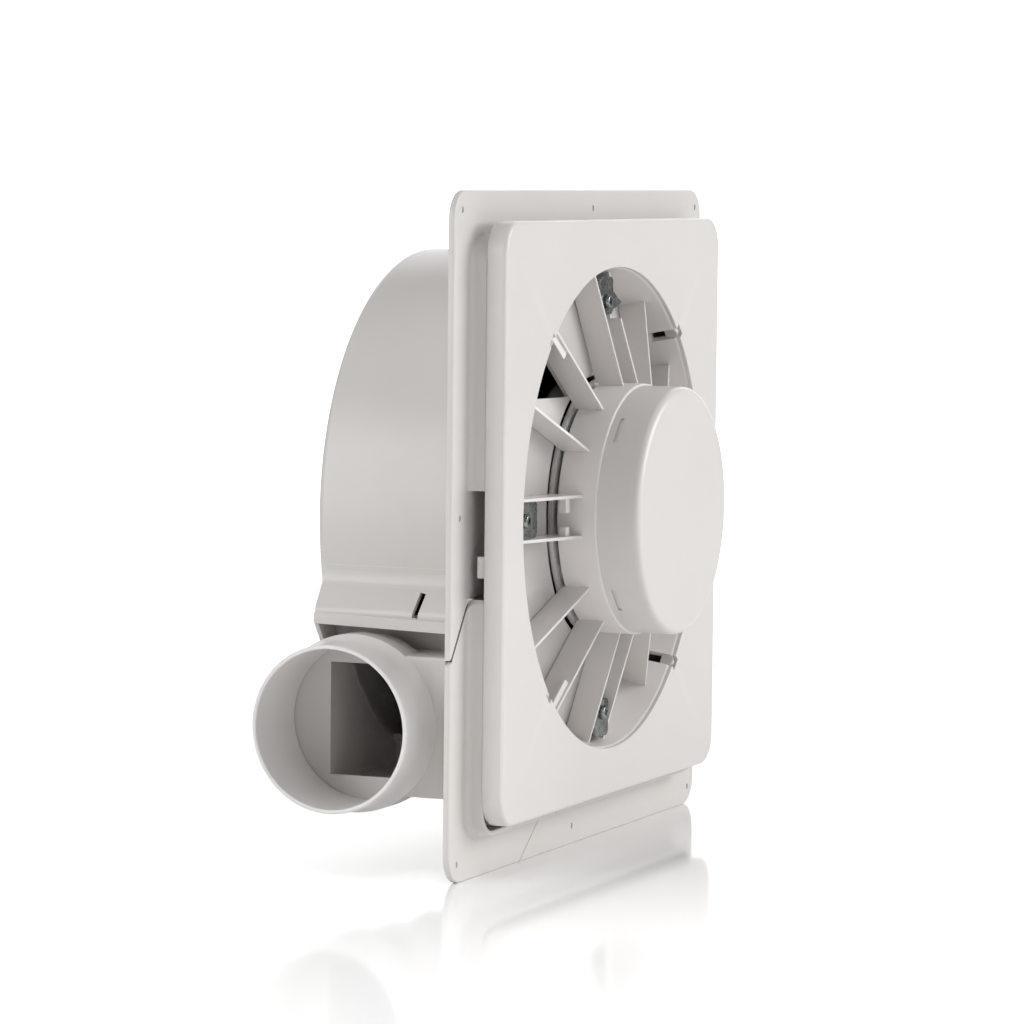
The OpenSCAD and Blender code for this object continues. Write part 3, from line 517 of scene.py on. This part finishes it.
# Pale, half-metallic zinc for the motor plate, lighter than the other zinc so its rim shows as a
# light line in the dark gap: partly painted light
plate_zinc_painted_light = plated("plate_zinc_painted_light", (0.74, 0.73, 0.71), (0.64, 0.63, 0.61), 0.4, 0.35)
steel = turned("motor_steel", (0.56, 0.57, 0.58), (0.47, 0.48, 0.5), 0.32)
bearing_steel = turned("bearing_steel", (0.62, 0.63, 0.64), (0.55, 0.56, 0.58), 0.22)
core_steel = layered("core_steel", (0.28, 0.29, 0.31), (0.12, 0.125, 0.13), 0.0008, 0.9, 0.45)
copper = layered("copper_wire", (0.62, 0.27, 0.1), (0.3, 0.11, 0.04), 0.0007, 0.8, 0.35)
brass = turned("brass", (0.62, 0.46, 0.2), (0.52, 0.37, 0.15), 0.3)
board = laminate("board_laminate")

# Wall frame and corner outlet share one shell: thin rim, cove, collar and web
FRAME_HALF, FRAME_T, RIM_CENTRE = 152.5, 3, 139.5
COLLAR_OUT, COLLAR_IN, COLLAR_TOP, COLLAR_CENTRE = 133.5, 131.3, 10.5, 120.5
COVE_R, FRAME_HOLE_R = 3, 109
COVE_FOOT = COLLAR_OUT + COVE_R
rim = edge_profile([(COVE_FOOT, 0), (FRAME_HALF, 0, 0.4), (FRAME_HALF, FRAME_T, 0.9),
                    (COVE_FOOT, FRAME_T)])
cove = arc(COVE_FOOT, FRAME_T + COVE_R, COVE_R, 270, 180, 8)
collar = edge_profile([(COLLAR_OUT, FRAME_T + COVE_R), (COLLAR_OUT, COLLAR_TOP, 0.5),
                       (COLLAR_IN, COLLAR_TOP, 0.5), (COLLAR_IN, FRAME_T, 0.6),
                       (FRAME_HOLE_R, FRAME_T)])
hole_edge = edge_profile([(COLLAR_IN, FRAME_T), (FRAME_HOLE_R, FRAME_T, 0.5),
                          (FRAME_HOLE_R, 0, 0.4), (COLLAR_IN, 0)])


def frame_shell(name):
    like = square_loop(COLLAR_IN, COLLAR_CENTRE, 0)
    loops = [square_loop(half, RIM_CENTRE, z) for half, z in rim]
    loops += [square_loop(half, COLLAR_CENTRE, z) for half, z in cove + collar]
    loops += [circle_loop(r, z, like) for r, z in hole_edge]
    return loops_to_object(name, loops)


# The seam round the corner outlet crosses the collar square and the rim aslant
SEAM_X, SEAM_Y, SEAM_RIM_X, SEAM_RIM_Y, BEYOND = -46, -27, -72, -53, -220


def corner_zone(name, gap, drum_radius, top=20):
    zone = prism(name, [
        (SEAM_X - gap, SEAM_Y - gap), (-COLLAR_OUT, SEAM_Y - gap),
        (-FRAME_HALF, SEAM_RIM_Y - gap), (BEYOND, SEAM_RIM_Y - gap), (BEYOND, BEYOND),
        (SEAM_RIM_X - gap, BEYOND), (SEAM_RIM_X - gap, -FRAME_HALF),
        (SEAM_X - gap, -COLLAR_OUT)], -5, top)
    return cut(zone, rod("drum_zone", drum_radius, -10, 30, steps=TURN_STEPS))


# Knock-out dimples: one near the middle of each side, one in each corner
FIXING, FIXING_SHIFT, DIMPLE_R, DIMPLE_FLOOR = 144, 9, 1.4, 2.3
SIDE_FIXINGS = [(FIXING_SHIFT, FIXING), (-FIXING, FIXING_SHIFT), (-FIXING_SHIFT, -FIXING),
                (FIXING, -FIXING_SHIFT)]
FRAME_CORNERS = [(FIXING, FIXING), (-FIXING, FIXING), (FIXING, -FIXING)]
OUTLET_CORNER = (-FIXING, -FIXING)


def dimples(places):
    return [rod("hole", DIMPLE_R, DIMPLE_FLOOR, 8, matrix=Matrix.Translation((x, y, 0)),
                steps=32) for x, y in places]


# The drum's radius, the play that the corner outlet leaves round it, and the usual wall
DRUM_R, DRUM_PLAY, WALL = 119, 0.3, 2.2

RECESS_TOP = 20.5
shell = frame_shell("wall_frame")
cut(shell, corner_zone("zone", 0, DRUM_R))
cut(shell, *dimples(SIDE_FIXINGS + FRAME_CORNERS))
cut(shell, block("recess", (-138, -130), (SEAM_Y, RECESS_TOP), (FRAME_T, 12)),
    block("access", (93.96, 121.96), (98.96, 124.96), (-2, 4)))
dress(shell, "frame_shell", housing_plastic, ["wall_frame"])

# The air box of the corner outlet, and its inside
BOX_X, BOX_Y, BOX_Z = (-134, -46), (-117, -54), (-72, 1)
BOX_IN_X, BOX_IN_Y, BOX_FLOOR = inset(BOX_X, WALL), inset(BOX_Y, WALL), BOX_Z[0] + WALL

# Fan drum with its flare, ledge, rear web, screw bosses and slanted slot
DRUM_BACK, FLARE_FRONT, THROUGH = -78, -3, (-90, 10)
DRUM_FLOOR = DRUM_BACK + WALL
FLARE_TOP, FLARE_FALL, FLARE_END = -22.2, 13.8, -124.8
LEDGE_TOP, LEDGE_FALL, LEDGE_T, LEDGE_END, LEDGE_IN = -37.2, 2, 5.2, -126, -95.2
WEB_TOP, WEB_LOW = -42, -51.4
SLOT_LEAN, SLOT_LENGTH, SLOT_WIDTH = 9, 11, 2.8
SLOT_PLACE = Matrix.Translation((-121.6, -32.7, -26))


def flare_outline(wall, foot):
    """A slope that leaves the drum on a soft curve and ends upright on the ledge."""
    top = FLARE_TOP - wall / 2
    end = FLARE_END + wall

    def on_drum(y):
        return -math.sqrt((DRUM_R - wall) ** 2 - (y - AXIS_Y) ** 2)

    return soften([(on_drum(top + 6), top + 6), (on_drum(top), top, 9),
                   (end, top - FLARE_FALL, 0 if wall else 5), (end, LEDGE_TOP - foot),
                   (LEDGE_IN, LEDGE_TOP - foot), (LEDGE_IN, top + 6)])


def scoop():
    return prism("scoop", flare_outline(WALL, 0), DRUM_FLOOR + WALL, FLARE_FRONT - WALL)


def outside_drum(obj):
    return cut(obj, rod("inside", 117.4, *THROUGH, steps=TURN_STEPS))


drum = lathe("drum", soften([
    (0, DRUM_BACK), (DRUM_R, DRUM_BACK, 4), (DRUM_R, 0, 0.3), (DRUM_R - WALL, 0, 0.3),
    (DRUM_R - WALL, DRUM_FLOOR, 2.5), (0, DRUM_FLOOR)], closed=False), closed=False)
cut(drum, scoop())
cut(drum, block("window", (-121, -50.4), BOX_IN_Y, (BOX_FLOOR, -WALL)))
flare = prism("flare", flare_outline(0, 2), DRUM_FLOOR, FLARE_FRONT)
cut(flare, scoop())
tilt = SLOT_PLACE @ Matrix.Rotation(math.radians(SLOT_LEAN), 4, "X")
cut(outside_drum(flare), block("slot", centred(17.6), centred(SLOT_LENGTH), centred(SLOT_WIDTH),
                               matrix=tilt))
lengthwise = (Matrix.Translation((LEDGE_END, 0, 0))
              @ Matrix.Rotation(math.radians(90), 4, "Y"))
ledge_low = LEDGE_TOP - LEDGE_FALL
ledge = outside_drum(prism("ledge", soften([
    (-DRUM_FLOOR, LEDGE_TOP, 0.5), (-FLARE_FRONT, ledge_low, 0.5),
    (-FLARE_FRONT, ledge_low - LEDGE_T, 0.7), (-DRUM_FLOOR, LEDGE_TOP - LEDGE_T, 0.7)]),
    0, LEDGE_IN - LEDGE_END, lengthwise, 0.7))
rear_web = outside_drum(prism("web", [
    (LEDGE_END, WEB_TOP), (-DRUM_R, WEB_LOW), (LEDGE_IN, WEB_LOW), (LEDGE_IN, WEB_TOP)],
    DRUM_FLOOR, DRUM_FLOOR + WALL, edge=0.4))

BOSS_RING_R, OUTLET_BOSS_DROP = 122.5, 65
CASE_BOSSES = (60, 135, 315)
OUTLET_BOSS = 180 + math.degrees(math.asin(OUTLET_BOSS_DROP / BOSS_RING_R))


def boss_place(degrees):
    x, y = radial(BOSS_RING_R, degrees)
    return Matrix.Translation((x, AXIS_Y + y, 0))


bosses = [rod("boss", 5, -11, -0.02, 0.6, boss_place(a))
          for a in (*CASE_BOSSES, OUTLET_BOSS)]
fan_drum = joined("fan_drum", [drum, flare, ledge, rear_web] + bosses)
dress(fan_drum, "drum_shell", housing_plastic, ["fan_drum"])

# Corner outlet: frame corner with its lip, grooved seam, air box and socket
LIP_TOP = 0.3
GROOVE = [(-132.9, -26.2), (-153.7, -54.6), (-152.5, -55.5), (-131.7, -27.1)]
# Outline of a dark sheet of painted shade that sits in the groove
SEAM_SHADE_OUTLINE = [(-133.4, -27), (-152.3, -52.9), (-151.2, -53.7), (-132.3, -27.8)]
SOCKET_R, BORE_R = 40, 37.15
corner = frame_shell("corner")
combine(corner, "INTERSECT", add(corner_zone("zone", 0.7, DRUM_R + DRUM_PLAY),
                                 corner_zone("lip", 0.1, DRUM_R + DRUM_PLAY, LIP_TOP)))
cut(corner, prism("seam", GROOVE, LIP_TOP, 12))
cut(corner, *dimples([OUTLET_CORNER]))
air_box = block("air_box", BOX_X, BOX_Y, BOX_Z, 1.2)
cut(air_box, block("cavity", BOX_IN_X, BOX_IN_Y, (BOX_FLOOR, 0)),
    rod("drum_room", DRUM_R + DRUM_PLAY, *THROUGH, steps=TURN_STEPS))
add(corner, air_box)
add(corner, rod("socket", SOCKET_R, -16, -0.03, 0.3, SPIGOT, TURN_STEPS))
cut(corner, rod("bore", BORE_R, -14, 8, matrix=SPIGOT, steps=TURN_STEPS))
cut(corner, block("air_hole", (-140, -117), (-111, -60), (BOX_FLOOR, -23.8)))
dress(corner, "outlet_shell", housing_plastic, ["corner_outlet"])
# A dark sheet in the seam's groove: painted shade, for the shadow in the narrow seam
dress(prism("seam_shade", SEAM_SHADE_OUTLINE, LIP_TOP + 0.02, FRAME_T - 0.05, edge=0.1), "seam_painted_shade", dark_plastic,
      [])

# Duct spigot, with the soft flare by which it leaves the socket
SPIGOT_R, SPIGOT_IN, PLUG_R, PLUG_END, SPIGOT_LEN = 37.5, 35.6, 36.8, -13.5, 26.5
ROOT_RISE, ROOT_LEN = 2.5, 10
spigot_root = [(SPIGOT_R + ROOT_RISE * (1 - k / ROOT_LEN) ** 2, k) for k in range(ROOT_LEN)]
spigot = lathe("spigot", soften([
    (SPIGOT_IN, PLUG_END, 0.3), (PLUG_R, PLUG_END, 0.4), (PLUG_R, 0)] + spigot_root + [
    (SPIGOT_R, ROOT_LEN), (SPIGOT_R, SPIGOT_LEN, 0.94), (SPIGOT_IN, SPIGOT_LEN, 0.94)]), SPIGOT)
dress(spigot, "spigot_tube", spigot_plastic_painted_light, ["duct_spigot"])

# Front plate with its round opening
PLATE_HALF, PLATE_IN, PLATE_CENTRE, OPENING_R = 134, 132, 120, 112
PLATE_FACE, PLATE_BACK, PLATE_FOOT = 20, 18, 10.5
TAB = ((-133.4, -131.4), (-18, -8.4), (7, 10.8))


def plate_squares(profile):
    return [square_loop(half, PLATE_CENTRE, z, AXIS_Y) for half, z in edge_profile(profile)]


like_plate = square_loop(PLATE_IN, PLATE_CENTRE, 0, AXIS_Y)
mouth = edge_profile([(PLATE_CENTRE, PLATE_FACE), (OPENING_R, PLATE_FACE, 0.5),
                      (OPENING_R, PLATE_BACK), (PLATE_CENTRE, PLATE_BACK)])
plate_loops = plate_squares([
    (PLATE_IN, PLATE_BACK), (PLATE_IN, PLATE_FOOT, 0.4), (PLATE_HALF, PLATE_FOOT, 0.4),
    (PLATE_HALF, PLATE_FACE, 1.8), (PLATE_CENTRE, PLATE_FACE)])
plate_loops += [circle_loop(r, z, like_plate) for r, z in mouth]
plate_loops += plate_squares([
    (PLATE_CENTRE, PLATE_BACK), (PLATE_IN, PLATE_BACK, 0.6), (PLATE_IN, PLATE_FOOT)])
front_plate = loops_to_object("front_plate", plate_loops)
add(front_plate, block("tab", *TAB, 0.3))
cut(front_plate, *[block("notch", (110, 115), centred(6.6), (17, 21), matrix=around(a))
                   for a in CATCH_TURNS])
dress(front_plate, "plate_shell", insert_plastic, ["front_plate"])

# Sloping wall of the opening, with the foot that holds it and the catches' slots
THROAT_R, THROAT_H = 106.4, -1.249
opening = lathe("opening", [
    (111.9, 17.97), (111.5, 17.6), (111.14, 17.0), (THROAT_R, THROAT_H), (THROAT_R, -3.12),
    (108.7, -3.12), (108.7, 3), (114.2, 3), (114.2, 5.2), (110.87, 5.2), (114.2, 17.97)])
cut(opening, *[block("slot", (THROAT_R, 116), centred(6), (6.5, 20), matrix=around(a))
               for a in CATCH_TURNS])
dress(opening, "opening_band", insert_plastic, ["opening_wall"])

# Ribs round the motor bowl; a point of a rib is (distance from the axis, height)
BOWL_R, RIB_RISE, RIB_SLOPE, RIB_H, RIB_T, RIB_EDGE = 58.3, 26.3, 0.29, 13.3, 1.5, 0.3
RIB_ROOT, RIB_SEAT, RIB_LOW_TIP, RIB_TIP, RIB_BACK = 57.2, 58.4, 107.3, 110.4, 14.3
NOTCH_IN, NOTCH_OUT, NOTCH_FLOOR = 88, 104, 12.5
RIB_SPREAD, RIB_TURNS = 9.25, (35.2, 59.6)
NOTCHED_RIB = (90, -RIB_SPREAD)
STEP_IN, STEP_DROPS, STEP_EDGE = 90.5, (2.4, 1.2), 0.25
STEPS = ((125.2, (-4.95, -0.65)), (239.6, (0.65, 4.95)))


def rib_front(u):
    return RIB_RISE - RIB_SLOPE * (u - BOWL_R)


def rib_outline(notched):
    points = [(RIB_ROOT, RIB_BACK), (RIB_SEAT, RIB_BACK), (RIB_SEAT, rib_front(RIB_SEAT) - RIB_H),
              (RIB_LOW_TIP, rib_front(RIB_LOW_TIP) - RIB_H), (RIB_TIP, rib_front(RIB_TIP))]
    if notched:
        points += [(NOTCH_OUT, rib_front(NOTCH_OUT)), (NOTCH_OUT, NOTCH_FLOOR),
                   (NOTCH_IN, NOTCH_FLOOR), (NOTCH_IN, rib_front(NOTCH_IN))]
    return points + [(RIB_ROOT, rib_front(RIB_ROOT))]


def rib(place, notched=False):
    return plate("rib", [rib_outline(notched)], *centred(RIB_T), RIB_EDGE, place @ ON_EDGE)


ribs = []
for a in QUARTERS:
    for offset in (RIB_SPREAD, -RIB_SPREAD):
        aside = Matrix.Translation((0, offset, 0))
        ribs.append(rib(around(a) @ aside, (a, offset) == NOTCHED_RIB))
    ribs += [rib(around(a + b)) for b in RIB_TURNS]
high, low = STEP_DROPS
step = [(STEP_IN, rib_front(STEP_IN) - high), (RIB_TIP, rib_front(RIB_TIP) - high),
        (RIB_TIP, rib_front(RIB_TIP) - low), (STEP_IN, rib_front(STEP_IN) - low)]
ribs += [plate("step", [step], *side_of_rib, STEP_EDGE, around(a) @ ON_EDGE)
         for a, side_of_rib in STEPS]
dress(joined("ribs", ribs), "rib_fan", insert_plastic, ["inlet_ribs"])

hooks = [block("hook", (64, 68.4), across_rib, (19, 22.6), 0.4, around(a))
         for a in (0, 180) for across_rib in ((4.25, 8.6), (-8.6, -2.1))]
dress(joined("hooks", hooks), "rib_lugs", insert_plastic, ["rib_hooks"])

# Catches behind the slots of the opening
UPRIGHT = Matrix(((0, 0, 1, 0), (1, 0, 0, 0), (0, 1, 0, 0), (0, 0, 0, 1)))
CATCH_HALF, CATCH_FOOT, CATCH_TOP = 3, 13, 16.5
catch = ([(-CATCH_HALF, CATCH_FOOT), (CATCH_HALF, CATCH_FOOT)]
         + arc(0, CATCH_TOP, CATCH_HALF, 0, 180, 16))
catches = [plate("catch", [catch], 111.2, 113.8, 0.5, around(a) @ UPRIGHT)
           for a in CATCH_TURNS]
dress(joined("catches", catches), "catch_tongues", catch_plastic,
      ["cover_catches"])

# Bell-mouthed inlet ring with its two windows and the clamp bosses
CLAMP_R, CLAW_BACK = 96, 12.8
BELL_R, BELL_H, BELL_BEND, BELL_T = 64, 8.444, 2.5, 1.8
WINDOW_IN, WINDOW_OUT = 66, 100
slope = math.degrees(math.atan(RIB_SLOPE))
bell_bend = arc(BELL_R, BELL_H, BELL_BEND, 180, 90 - slope, 14)
bell_bend_inside = arc(BELL_R, BELL_H, BELL_BEND - BELL_T, 90 - slope, 180, 8)
bell = lathe("bell", edge_profile([(63.3, -2), (61.5, -2, 0.5), (61.5, 3)]) + bell_bend
             + [(106.7, -1.34), (106.7, -3.1)] + bell_bend_inside + [(63.3, 0)])
windows = [
    [radial(WINDOW_IN, 59.6), radial(WINDOW_IN, 56), radial(WINDOW_IN, 53.42),
     radial(91.94, 35.2)] + arc(0, 0, WINDOW_OUT, 35.2, 59.6, 12),
    [radial(WINDOW_IN, 126.58), radial(WINDOW_IN, 125.2)]
    + arc(0, 0, WINDOW_OUT, 125.2, 148, 12)]
cut(bell, *[prism("window", outline, -8, 30, AXIS) for outline in windows])
posts = [rod("post", 5, -2.05, CLAW_BACK, 0.4, around(a, CLAMP_R)) for a in QUARTERS]
dress(joined("bell", [bell] + posts), "inlet_bell", bell_plastic_painted_shade,
      ["inlet_ring"])

# Clamps; the left one reaches further in, and the upper one has an ear
CLAW_IN, LEFT_CLAW_IN, CLAW_OUT, CLAW_HALF, CLAW_T = 89.8, 81.5, 107.4, 8.3, 1.2
CLAW_CORNER_R, CLAW_EDGE, CLAW_HOLE_R = 3, 0.25, 2.3
CLAW_FRONT = CLAW_BACK + CLAW_T
EAR = [(91, -4.15), (103, -4.15), (95.6, -18.2), (94.6, -18.2)]
screw_hole = list(reversed(arc(CLAMP_R, 0, CLAW_HOLE_R, 0, 350, 24)))
claws = []
for a in QUARTERS:
    inner = LEFT_CLAW_IN if a == 180 else CLAW_IN
    outline = soften([(inner, -CLAW_HALF, CLAW_CORNER_R), (CLAW_OUT, -CLAW_HALF, CLAW_CORNER_R),
                      (CLAW_OUT, CLAW_HALF, CLAW_CORNER_R), (inner, CLAW_HALF, CLAW_CORNER_R)])
    claws.append(plate("claw", [outline, screw_hole], CLAW_BACK, CLAW_FRONT, CLAW_EDGE,
                       around(a)))
claws.append(plate("ear", [EAR], CLAW_BACK + 0.05, CLAW_FRONT - 0.05, CLAW_EDGE, around(90)))
dress(joined("claws", claws), "claw_plates", zinc, ["clamp_claws"])


# Screws
def screw(head_r, head_h, shank_r, seat, end, matrix):
    """A pan head with a cross recess on a plain shank."""
    top = seat + head_h
    dome = soften([(0, top), (head_r * 0.8, top, head_h * 0.35),
                   (head_r, seat + head_h * 0.45, head_h * 0.3), (head_r, seat, 0.15),
                   (shank_r, seat), (shank_r, end + 0.8, 0.2), (shank_r * 0.5, end), (0, end)],
                  closed=False)
    body = lathe("screw", dome, Matrix.Identity(4), SMALL_STEPS, closed=False)
    arm, width = centred(head_r * 1.16), centred(head_r * 0.22)
    depth = (top - head_h * 0.55, top + 1)
    cut(body, block("cross", arm, width, depth), block("cross", width, arm, depth))
    body.data.transform(matrix)
    return body


def case_screw(place):
    return screw(3.2, 1.8, 1.6, FRAME_T, -9, place)


clamps = [screw(3.3, 2.2, 2, CLAW_FRONT, 0.5, around(a, CLAMP_R) @ turn(a + 30))
          for a in QUARTERS]
dress(joined("clamp_screws", clamps), "clamp_screw_set", screw_zinc,
      ["clamp_screws"])
case = [case_screw(boss_place(a) @ turn(a)) for a in CASE_BOSSES]
dress(joined("case_screws", case), "case_screw_set", screw_zinc, ["drum_screws"])
dress(case_screw(boss_place(OUTLET_BOSS) @ turn(20)), "outlet_screw_head", screw_zinc,
      ["outlet_screw"])

# Motor bowl, with pads under its floor, stands for the board and pockets for the cap's snaps
BOWL_BACK, BOWL_FLOOR, BOWL_RIM, BOWL_IN, BOWL_HOLE_R = 14, 16, 33, 56.3, 9
PAD_RING_R, STAND_RING_R = 50, 44
bowl = lathe("bowl", soften([
    (BOWL_HOLE_R, BOWL_BACK, 0.3), (BOWL_R, BOWL_BACK, 0.5), (BOWL_R, BOWL_RIM, 0.85),
    (BOWL_IN, BOWL_RIM, 0.3), (BOWL_IN, BOWL_FLOOR, 0.8), (BOWL_HOLE_R, BOWL_FLOOR, 0.3)]))
cut(bowl, *[block("snap", (55, 57.6), centred(7), (30.5, 32.6), matrix=around(a))
            for a in SNAP_TURNS])
pads = [rod("pad", 5, 12.2, 14.5, 0.2, around(a, PAD_RING_R)) for a in (90, 210, 330)]
stands = [rod("stand", 3.5, 15, 30, 0.3, around(a, STAND_RING_R)) for a in CATCH_TURNS]
dress(joined("bowl", [bowl] + pads + stands), "bowl_shell", bowl_plastic_painted_light,
      ["motor_bowl"])

# Hub cap with its skirt, four slits and snaps
CAP_R, CAP_FACE, SKIRT_R, SKIRT_END = 57.4, 53.6, 54.6, 28.2
SLIT_TURNS, SLIT_SPREAD = (43, 137, 223, 317), 7
cap = lathe("cap", soften([
    (0, CAP_FACE), (CAP_R, CAP_FACE, 3.4), (CAP_R, BOWL_RIM), (SKIRT_R, BOWL_RIM),
    (SKIRT_R, SKIRT_END, 0.3), (54, SKIRT_END), (54, 36), (55.4, 36), (55.4, 51.6, 2),
    (0, 51.6)], closed=False), closed=False)
cut(cap, *[prism("slit", arc(0, 0, 56.5, a - SLIT_SPREAD, a + SLIT_SPREAD, 10)
                 + arc(0, 0, 60, a + SLIT_SPREAD, a - SLIT_SPREAD, 10), 36.2, 38, AXIS)
           for a in SLIT_TURNS])
snaps = [block("snap", (55.1, 57.5), centred(5), (31, 32.5), 0.2, around(a))
         for a in SNAP_TURNS]
dress(joined("cap", [cap] + snaps), "hub_cover", insert_plastic, ["hub_cap"])

# Nodes that keep the solid's own shape get their material here
KEPT = {
    "junction_box": box_plastic, "cable_gland": gland_plastic, "terminal_block": dark_plastic,
    "terminal_screws": brass, "motor_plate": plate_zinc_painted_light, "plate_screws": screw_zinc,
    "motor_case": steel, "stator_core": core_steel, "stator_winding": copper,
    "front_bearing": bearing_steel, "rear_bearing": bearing_steel, "control_board": board,
    "capacitor": dark_plastic, "motor_shaft": bearing_steel, "rotor_core": core_steel,
    "wheel_bush": wheel_plastic, "wheel_disc": wheel_plastic, "wheel_blades": wheel_plastic,
    "wheel_rim": wheel_plastic, "wheel_nut": screw_zinc}
for name, material in KEPT.items():
    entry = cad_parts[name]
    obj = entry if isinstance(entry, bpy.types.Object) else bpy.data.objects[name]
    obj.data.materials.clear()
    obj.data.materials.append(material)

# Pale glossy floor, and behind it a lit backdrop that starts with a bend; in metres
FLOOR_Z, FLOOR_NEAR, BEND_START, BEND_R, BACKDROP_TOP = -0.1525, -3.0, 1.6, 0.8, 2.6
FLOOR_HALF, BACKDROP_HALF, BEND_STEPS = 3.5, 1.2, 16
bend = [(BEND_START + BEND_R * math.sin(a), BEND_R - BEND_R * math.cos(a))
        for a in (math.radians(90 * k / BEND_STEPS) for k in range(BEND_STEPS + 1))]
across = Vector((-look.y, look.x, 0)).normalized()
ahead = Vector((look.x, look.y, 0)).normalized()


def sweep(name, profile, half, material):
    bm = bmesh.new()
    rows = [[bm.verts.new(ahead * d + across * s + Vector((0, 0, FLOOR_Z + h)))
             for d, h in profile] for s in (-half, half)]
    for k in range(len(profile) - 1):
        bm.faces.new((rows[0][k], rows[0][k + 1], rows[1][k + 1], rows[1][k]))
    mesh = bpy.data.meshes.new(name)
    bm.to_mesh(mesh)
    bm.free()
    for face in mesh.polygons:
        face.use_smooth = True
    mesh.materials.append(material)
    add_object(name, mesh)


def stage_material(name, ior, grey, glow, low, high):
    material, tree, shader = begin(name, ior=ior)
    shader.inputs["Base Color"].default_value = (grey, grey, grey, 1)
    shader.inputs["Emission Color"].default_value = (1, 1, 1, 1)
    shader.inputs["Emission Strength"].default_value = glow
    roughened(tree, shader, noise(tree, 6, 2, 0.5), low, high)
    return material


sweep("floor", [(FLOOR_NEAR, 0), (BEND_START, 0)], FLOOR_HALF,
      stage_material("floor_gloss", 1.5, 0.9, 0.0, 0.07, 0.1))
sweep("backdrop", bend + [(BEND_START + BEND_R, BACKDROP_TOP)], BACKDROP_HALF,
      stage_material("backdrop_paper", 1.4, 0.8, 0.9, 0.6, 0.7))


# Soft studio light
def lamp(name, kind, place, target, power):
    data = bpy.data.lights.new(name, kind)
    data.energy = power
    obj = add_object(name, data)
    obj.location = place
    obj.rotation_euler = (Vector(target) - Vector(place)).to_track_quat("-Z", "Y").to_euler()
    return data


def soft_box(name, place, width, height, power):
    data = lamp(name, "AREA", place, (0, 0, 0), power)
    data.shape = "RECTANGLE"
    data.size, data.size_y = width, height


floor_spot = lamp("floor_spot", "SPOT", (-0.75, -0.3, 1.0), (-0.42, -0.17, -0.15), 46)
floor_spot.spot_size = math.radians(34)
floor_spot.spot_blend = 1.0
floor_spot.shadow_soft_size = 0.08
soft_box("top_light", (-0.3, 0.4, 2.1), 2.2, 2.2, 11)
soft_box("right_light", (1.1, -2.3, 1.0), 1.6, 1.6, 54)
soft_box("front_light", (-1.3, -2.0, 0.6), 1.4, 1.4, 7)
soft_box("left_light", (-2.0, 1.4, 0.7), 1.2, 1.6, 24)
world = bpy.data.worlds.new("world")
bpy.context.scene.world = world
world.use_nodes = True
world.node_tree.nodes["Background"].inputs["Color"].default_value = (1, 1, 1, 1)
world.node_tree.nodes["Background"].inputs["Strength"].default_value = 0.25
bpy.context.scene.view_settings.view_transform = "Standard"
